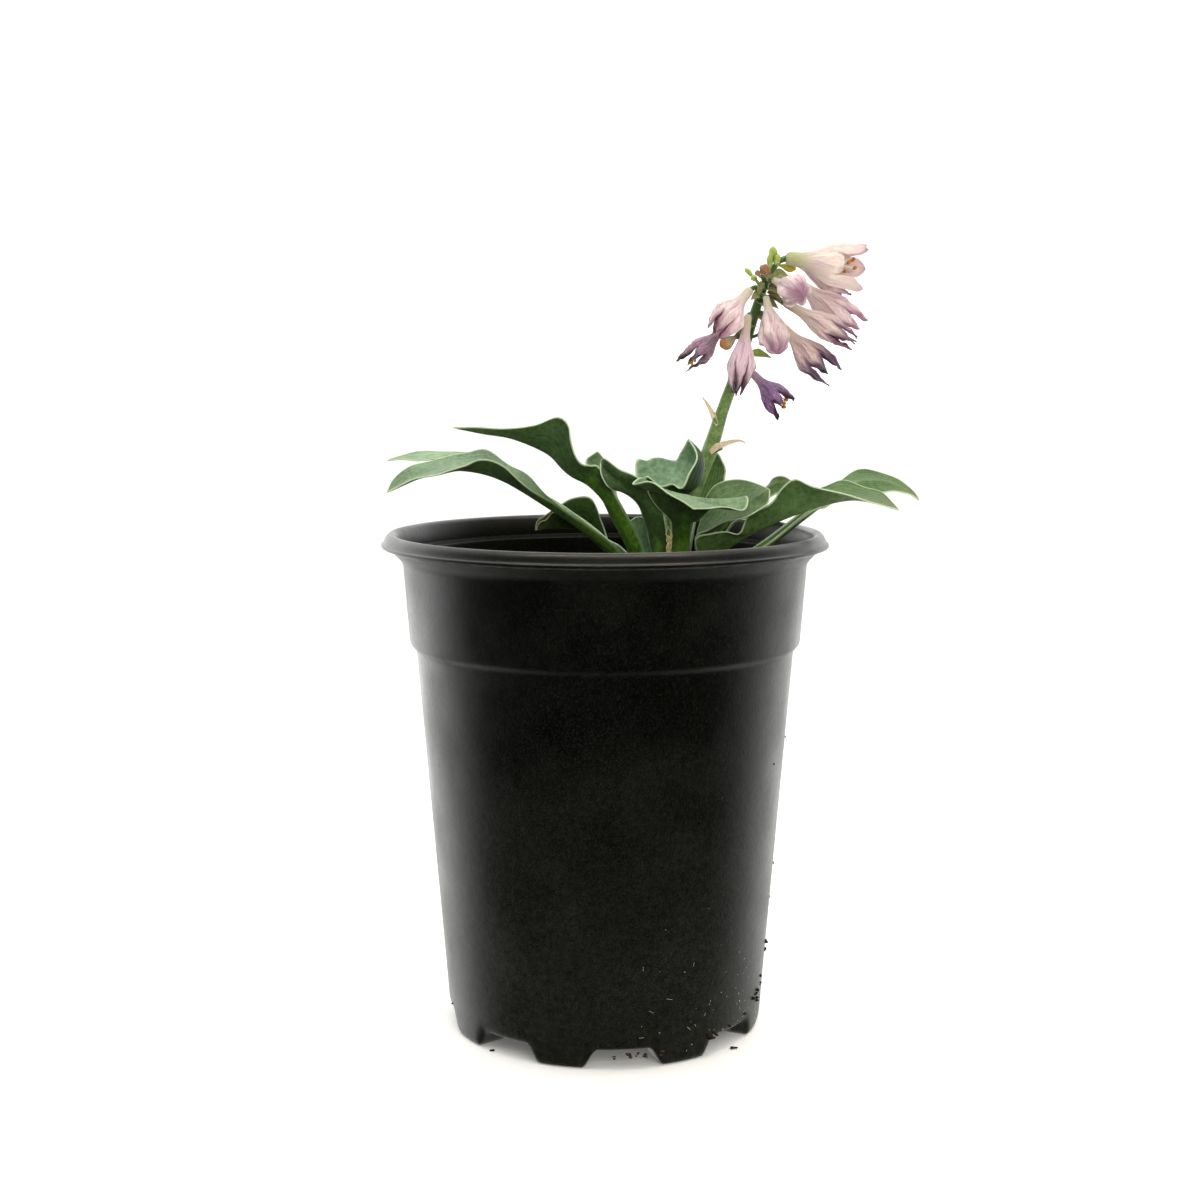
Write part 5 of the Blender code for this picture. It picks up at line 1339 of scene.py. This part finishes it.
def add_crumbs(peat, bark, hair):
    """Crumbs of potting mix and fine root hairs that stick to the outside of the pot."""
    draw = np.random.RandomState(8)
    line = np.array(wall_profile())[::-1]
    parts = []
    for _ in range(ROOT_HAIRS):
        turn = math.radians(draw.uniform(12, 66)) + draw.normal(0, 0.008) * np.linspace(-1, 1, 7)
        level = 11.5 + 26 * draw.uniform(0, 1)**2 + draw.uniform(-0.8, 0.8) * np.linspace(-1, 1, 7)
        away = np.interp(level, line[:, 1], line[:, 0]) + 0.05
        strand = np.stack([away * np.sin(turn), -away * np.cos(turn), level], 1)
        parts.append((*tube(strand, np.full(7, draw.uniform(0.07, 0.13)), 6), 2))
    for degrees, height, size in CRUMBS:
        for _ in range(3):
            angle = math.radians(degrees) + draw.uniform(-0.6, 0.6) * size / 60
            level = height + draw.uniform(-0.6, 0.6) * size
            away = np.interp(level, line[:, 1], line[:, 0])
            some, faces = chip(size * draw.uniform(0.3, 0.6), draw, 1.5, 0.6)
            parts.append((some + (away * math.sin(angle), -away * math.cos(angle), level), faces,
                          int(height < 6)))
    points, faces, kinds = scatter(parts)
    return add_piece("clinging_soil", world(points), faces, [peat, bark, hair], kinds=kinds)


def add_floor_crumbs(peat):
    """Two crumbs that have fallen beside the pot."""
    draw = np.random.RandomState(4)
    parts = []
    for x, y, size in ((-40.9, -40.0, 0.7), (46.5, -38.0, 1.3)):
        for _ in range(3):
            some, faces = chip(size * draw.uniform(0.5, 0.9), draw, 1.4, 0.5)
            parts.append((some + (x + draw.uniform(-1, 1) * size, y, size * 0.4), faces, 0))
    points, faces, _ = scatter(parts)
    add_piece("fallen_crumbs", world(points), faces, [peat])


# Buds, pods and bracts on the stem: start, end, half width, half depth and finish.
BUDS = {
    "top_bud": ((61.6, 12.3, 282.6), (62.3, 11, 289.8), 1.7, 1.7, "green bract"),
    "pod_left": ((49.5, 8, 257.3), (42.5, 6, 252.8), 2.7, 2.7, "young pod"),
    "pod_right": ((56.5, 6.5, 257.8), (59.5, 4, 253.4), 2.0, 2.0, "young pod"),
    "bud_brown": ((57.5, 7, 278.3), (58.8, 4.5, 282.9), 1.9, 1.9, "dry bract"),
    "bract_yellow": ((63.5, 12.5, 283.1), (70.9, 12.5, 281.5), 1.8, 1.1, "green bract"),
    "bract_green": ((56.7, 14, 276.7), (51.9, 15, 282.2), 0.9, 1.7, "green bract"),
    "bract_low": ((54.1, 9.2, 250.1), (61.4, 5, 249), 1.6, 1.1, "green bract"),
    "bract_left": ((41, 9.5, 225.8), (37, 8, 233.8), 1.6, 0.6, "dry bract"),
    "bract_right": ((43.2, 11, 215.2), (52.3, 9, 217.9), 2.0, 0.9, "dry bract"),
}


# Stage

# Half the side of the table and where the camera stands from the pot's axis, in metres. Eye level
# and distance are those of someone who looks a little down at the pot.
TABLE_HALF = 6.0
EYE = Vector((0.0, -0.6979, 0.2491))
LOOK_DOWN_DEG = 7.32
SENSOR_MM = 36.0
LENS_MM = 56.72
LENS_SHIFT = -0.00417


def lit_table():
    """White acrylic, faintly lit from below as a product table is, so that its far edge melts into
    the white room."""
    finish, tree, shader = new_finish("white acrylic table", IOR=1.49, Roughness=0.7,
                                      Emission_Strength=0.08)
    spot = add(tree, "ShaderNodeTexCoord", out="Object")
    grain = add(tree, "ShaderNodeTexNoise", {"Vector": spot, "Scale": per_mm(8), "Detail": 4.0})
    colour = add(tree, "ShaderNodeMix", {0: grain, 6: linear("#fcfbf6"), 7: linear("#fefdfa")},
                 out=2, data_type="RGBA")
    tree.links.new(colour, shader.inputs["Base Color"])
    return finish


def add_floor(finish):
    """The table top, as high as the pot's feet."""
    size, low = TABLE_HALF, pot_low.z
    corners = [(-size, -size, low), (size, -size, low), (size, size, low), (-size, size, low)]
    floor = add_piece("floor", corners, [(0, 1, 2, 3)], [finish])
    floor.visible_glossy = False


def add_lamp(name, place, target, size, power, colour, glossy=True, diffuse=True):
    """A rectangular softbox that faces `target`. Two flags say whether it shows in gloss and lights
    matt surfaces."""
    lamp = bpy.data.lights.new(name, "AREA")
    lamp.shape = "RECTANGLE"
    lamp.size, lamp.size_y = size
    lamp.energy = power
    lamp.color = linear(colour)[:3]
    thing = bpy.data.objects.new(name, lamp)
    thing.location = place
    thing.rotation_euler = (Vector(target) - Vector(place)).to_track_quat("-Z", "Y").to_euler()
    thing.visible_camera = False
    thing.visible_glossy, thing.visible_diffuse = glossy, diffuse
    bpy.context.scene.collection.objects.link(thing)


def set_world():
    """A bright white room behind the plant and a dim one in front of it."""
    room = bpy.data.worlds.new("white room")
    room.use_nodes = True
    tree = room.node_tree
    seen = tree.nodes["Background"]
    way = add(tree, "ShaderNodeTexCoord", out="Generated")
    back = add(tree, "ShaderNodeSeparateXYZ", {0: way}, out="Y")
    up = add(tree, "ShaderNodeSeparateXYZ", {0: way}, out="Z")
    shine = add(tree, "ShaderNodeLightPath", out="Is Glossy Ray")
    side = add(tree, "ShaderNodeSeparateXYZ", {0: way}, out="X")
    light = add(tree, "ShaderNodeMapRange", {0: back, 1: -0.45, 2: 0.45, 3: 0.02, 4: 1.4},
                interpolation_type="SMOOTHSTEP")
    wall = add(tree, "ShaderNodeMapRange", {0: back, 1: -0.2, 2: 0.7, 3: 0.015, 4: 2.3},
               interpolation_type="SMOOTHSTEP")
    lean = add(tree, "ShaderNodeMapRange", {0: side, 1: -1.0, 2: 1.0, 3: 1.1, 4: 0.7})
    wall = add(tree, "ShaderNodeMath", {0: wall, 1: lean}, operation="MULTIPLY")
    ground = add(tree, "ShaderNodeMapRange", {0: up, 1: -0.6, 2: -0.15, 3: 0.3, 4: 1.0},
                 interpolation_type="SMOOTHSTEP")
    wall = add(tree, "ShaderNodeMath", {0: wall, 1: ground}, operation="MULTIPLY")
    light = add(tree, "ShaderNodeMix", {0: shine, 2: light, 3: wall}, data_type="FLOAT")
    ceiling = add(tree, "ShaderNodeMapRange", {0: up, 1: 0.35, 2: 0.9, 3: 0.0, 4: 1.0},
                  interpolation_type="SMOOTHSTEP")
    weak = add(tree, "ShaderNodeMath", {0: shine, 1: -0.65, 2: 1.0}, operation="MULTIPLY_ADD")
    ceiling = add(tree, "ShaderNodeMath", {0: ceiling, 1: weak}, operation="MULTIPLY")
    light = add(tree, "ShaderNodeMath", {0: light, 1: ceiling}, operation="MAXIMUM")
    ray = add(tree, "ShaderNodeLightPath", out="Is Camera Ray")
    light = add(tree, "ShaderNodeMath", {0: light, 1: ray}, operation="MAXIMUM")
    tree.links.new(light, seen.inputs["Strength"])
    seen.inputs["Color"].default_value = linear("#ffffff")
    bpy.context.scene.world = room


def add_camera():
    """The camera, level from side to side and turned a little down."""
    lens = bpy.data.cameras.new("camera")
    lens.sensor_width = SENSOR_MM
    lens.lens = LENS_MM
    lens.shift_x = LENS_SHIFT
    lens.clip_start, lens.clip_end = 0.02, 20.0
    camera = bpy.data.objects.new("camera", lens)
    camera.location = AXIS + EYE
    camera.rotation_euler = (math.radians(90 - LOOK_DOWN_DEG), 0.0, 0.0)
    bpy.context.scene.collection.objects.link(camera)
    bpy.context.scene.camera = camera


def dress_pot_and_soil():
    """The pot, the potting mix in it, the crumbs on it and those that fell beside it."""
    dress(add_pot(black_polypropylene()), "pot_plastic", "pot")
    peat = loose("peat and compost", "#0f0b08", "#3a2c20", 1.6, 0.95)
    bark = loose("pine bark", "#1f150d", "#4c3a29", 2.5, 0.85)
    perlite = loose("perlite", "#b9b5a8", "#efece2", 0.8, 0.8)
    dress(add_soil(peat, bark, perlite), "potting_soil", "soil")
    hair = loose("root hair", "#6d6a5a", "#a8a392", 0.5, 0.7)
    dress(add_crumbs(peat, bark, hair), "potting_soil")
    add_floor_crumbs(peat)


def dress_leaves():
    """Every leaf of the clump, and the dry sheath between them."""
    leaf_skin = hosta_leaf()
    straw = two_tone("dry sheath", "#a8945c", "#dccb92", "#dccb92", 0.6, 0.7)
    for seed, (name, leaf) in enumerate(LEAVES.items()):
        if name == "dry_sheath":
            dress(add_fibres(name, leaf, straw), "dry_bract", name)
        else:
            dress(add_leaf(name, leaf, leaf_skin, seed), "hosta_leaf", name)


def dress_stem():
    """The scape with its stalks."""
    husk = two_tone("bract skin", "#3c4720", "#c6c8a4", "#6c6a3a", 0.6, 0.6)
    scape = two_tone("hosta scape", "#526e36", "#7b9458", "#2f4c20", 0.7, 0.45)
    dress(add_stem(scape, husk), "flower_stem", "flower_stem")


def dress_flowers():
    """Every flower, from freshly open to wilted."""
    thread = two_tone("stamen thread", "#d8d0b8", "#efe8d6", "#efe8d6", 0.5, 0.5)
    anther = two_tone("ripe anther", "#8a4f22", "#c8873f", "#c8873f", 0.4, 0.7)
    petals = dict(
        fresh=petal("fresh hosta petal", "#b0b678", "#e2d0c4", "#ceb0ba", "#dabfc2", 0.8, 0.2),
        pink=petal("pink hosta petal", "#d2c6ab", "#e0c9c7", "#b8919f", "#9a6a84", 0.76, 0.6),
        fading=petal("fading hosta petal", "#cbbb9b", "#dac3bb", "#ac8795", "#774e66", 0.66, 0.6),
        worn=petal("worn hosta petal", "#d2c2a2", "#d8bdb6", "#99768a", "#624360", 0.58, 0.6),
        wilted=petal("wilted hosta petal", "#c7a6b6", "#a07c92", "#6c4863", "#4e353a", 0.7, 0.6),
        slit=petal("slit hosta petal", "#cabc9a", "#d6b9c3", "#b088a2", "#4f223a", 0.78, 0.9),
        violet=petal("violet hosta petal", "#ab8aa6", "#8a6093", "#4b2757", "#3c202c", 0.76, 0.6),
    )
    for seed, (name, flower) in enumerate(FLOWERS.items()):
        look = LOOKS[name]
        finishes = [petals[look["finish"]], thread, anther]
        slot = "violet_petal" if look["finish"] in ("wilted", "violet") else "pink_petal"
        dress(add_flower(name, flower, look, finishes, seed), slot, name)


def dress_buds():
    """Every bud, pod and bract, each with the finish of its kind or one of its own."""
    tones = {
        "green bract": two_tone("green bract skin", "#7a8f3c", "#aebd66", "#93a549", 0.5, 0.5),
        "dry bract": two_tone("dry bract skin", "#b49a78", "#ded0b4", "#c9b08c", 0.5, 0.65),
        "young pod": petal("young pod skin", "#3d4a26", "#dccfae", "#c8a468", "#cf8f48", 0.62, 0.1),
    }
    special = {
        "bud_brown": two_tone("shrivelled bud skin", "#5b4230", "#b39a78", "#8a5f45", 0.5, 0.6),
        "top_bud": two_tone("young bud skin", "#6d8230", "#b9c28a", "#8b9d44", 0.5, 0.5),
        "bract_yellow": two_tone("yellowing bract skin", "#8a8f30", "#c9bb45", "#a8842f", 0.5, 0.5),
    }
    for seed, (name, row) in enumerate(BUDS.items()):
        kind = row[-1]
        finish = special.get(name, tones[kind])
        dress(add_bud(name, row, finish, seed), kind.replace(" ", "_"), name)


def light_stage():
    """The table and the softboxes over, beside and in front of it."""
    add_floor(lit_table())
    add_lamp("overhead softbox", (0.0, 0.1, 1.4), (0.0, 0.0, 0.15), (1.6, 1.2), 16.0, "#fffdf6",
             glossy=False)
    add_lamp("left window", (-1.2, 0.35, 0.5), (0.0, 0.0, 0.15), (0.9, 1.1), 3.0, "#f4f8ff",
             glossy=False)
    add_lamp("front fill", (0.35, -1.3, 0.7), (0.0, 0.0, 0.2), (1.2, 0.9), 14.0, "#fffdf6",
             glossy=False)
    add_lamp("ceiling strip", (0.0, -0.25, 1.25), (0.0, 0.0, 0.15), (1.4, 0.03), 7.0, "#fff3e0",
             diffuse=False)
    add_lamp("rim light", (0.31, -0.1, 1.13), (0.0, -0.08, 0.18), (0.14, 0.05), 0.6, "#ffe9cc")


def main():
    add_camera()
    set_world()
    bpy.context.scene.view_settings.view_transform = "Standard"
    dress_pot_and_soil()
    dress_leaves()
    dress_stem()
    dress_flowers()
    dress_buds()
    light_stage()


main()
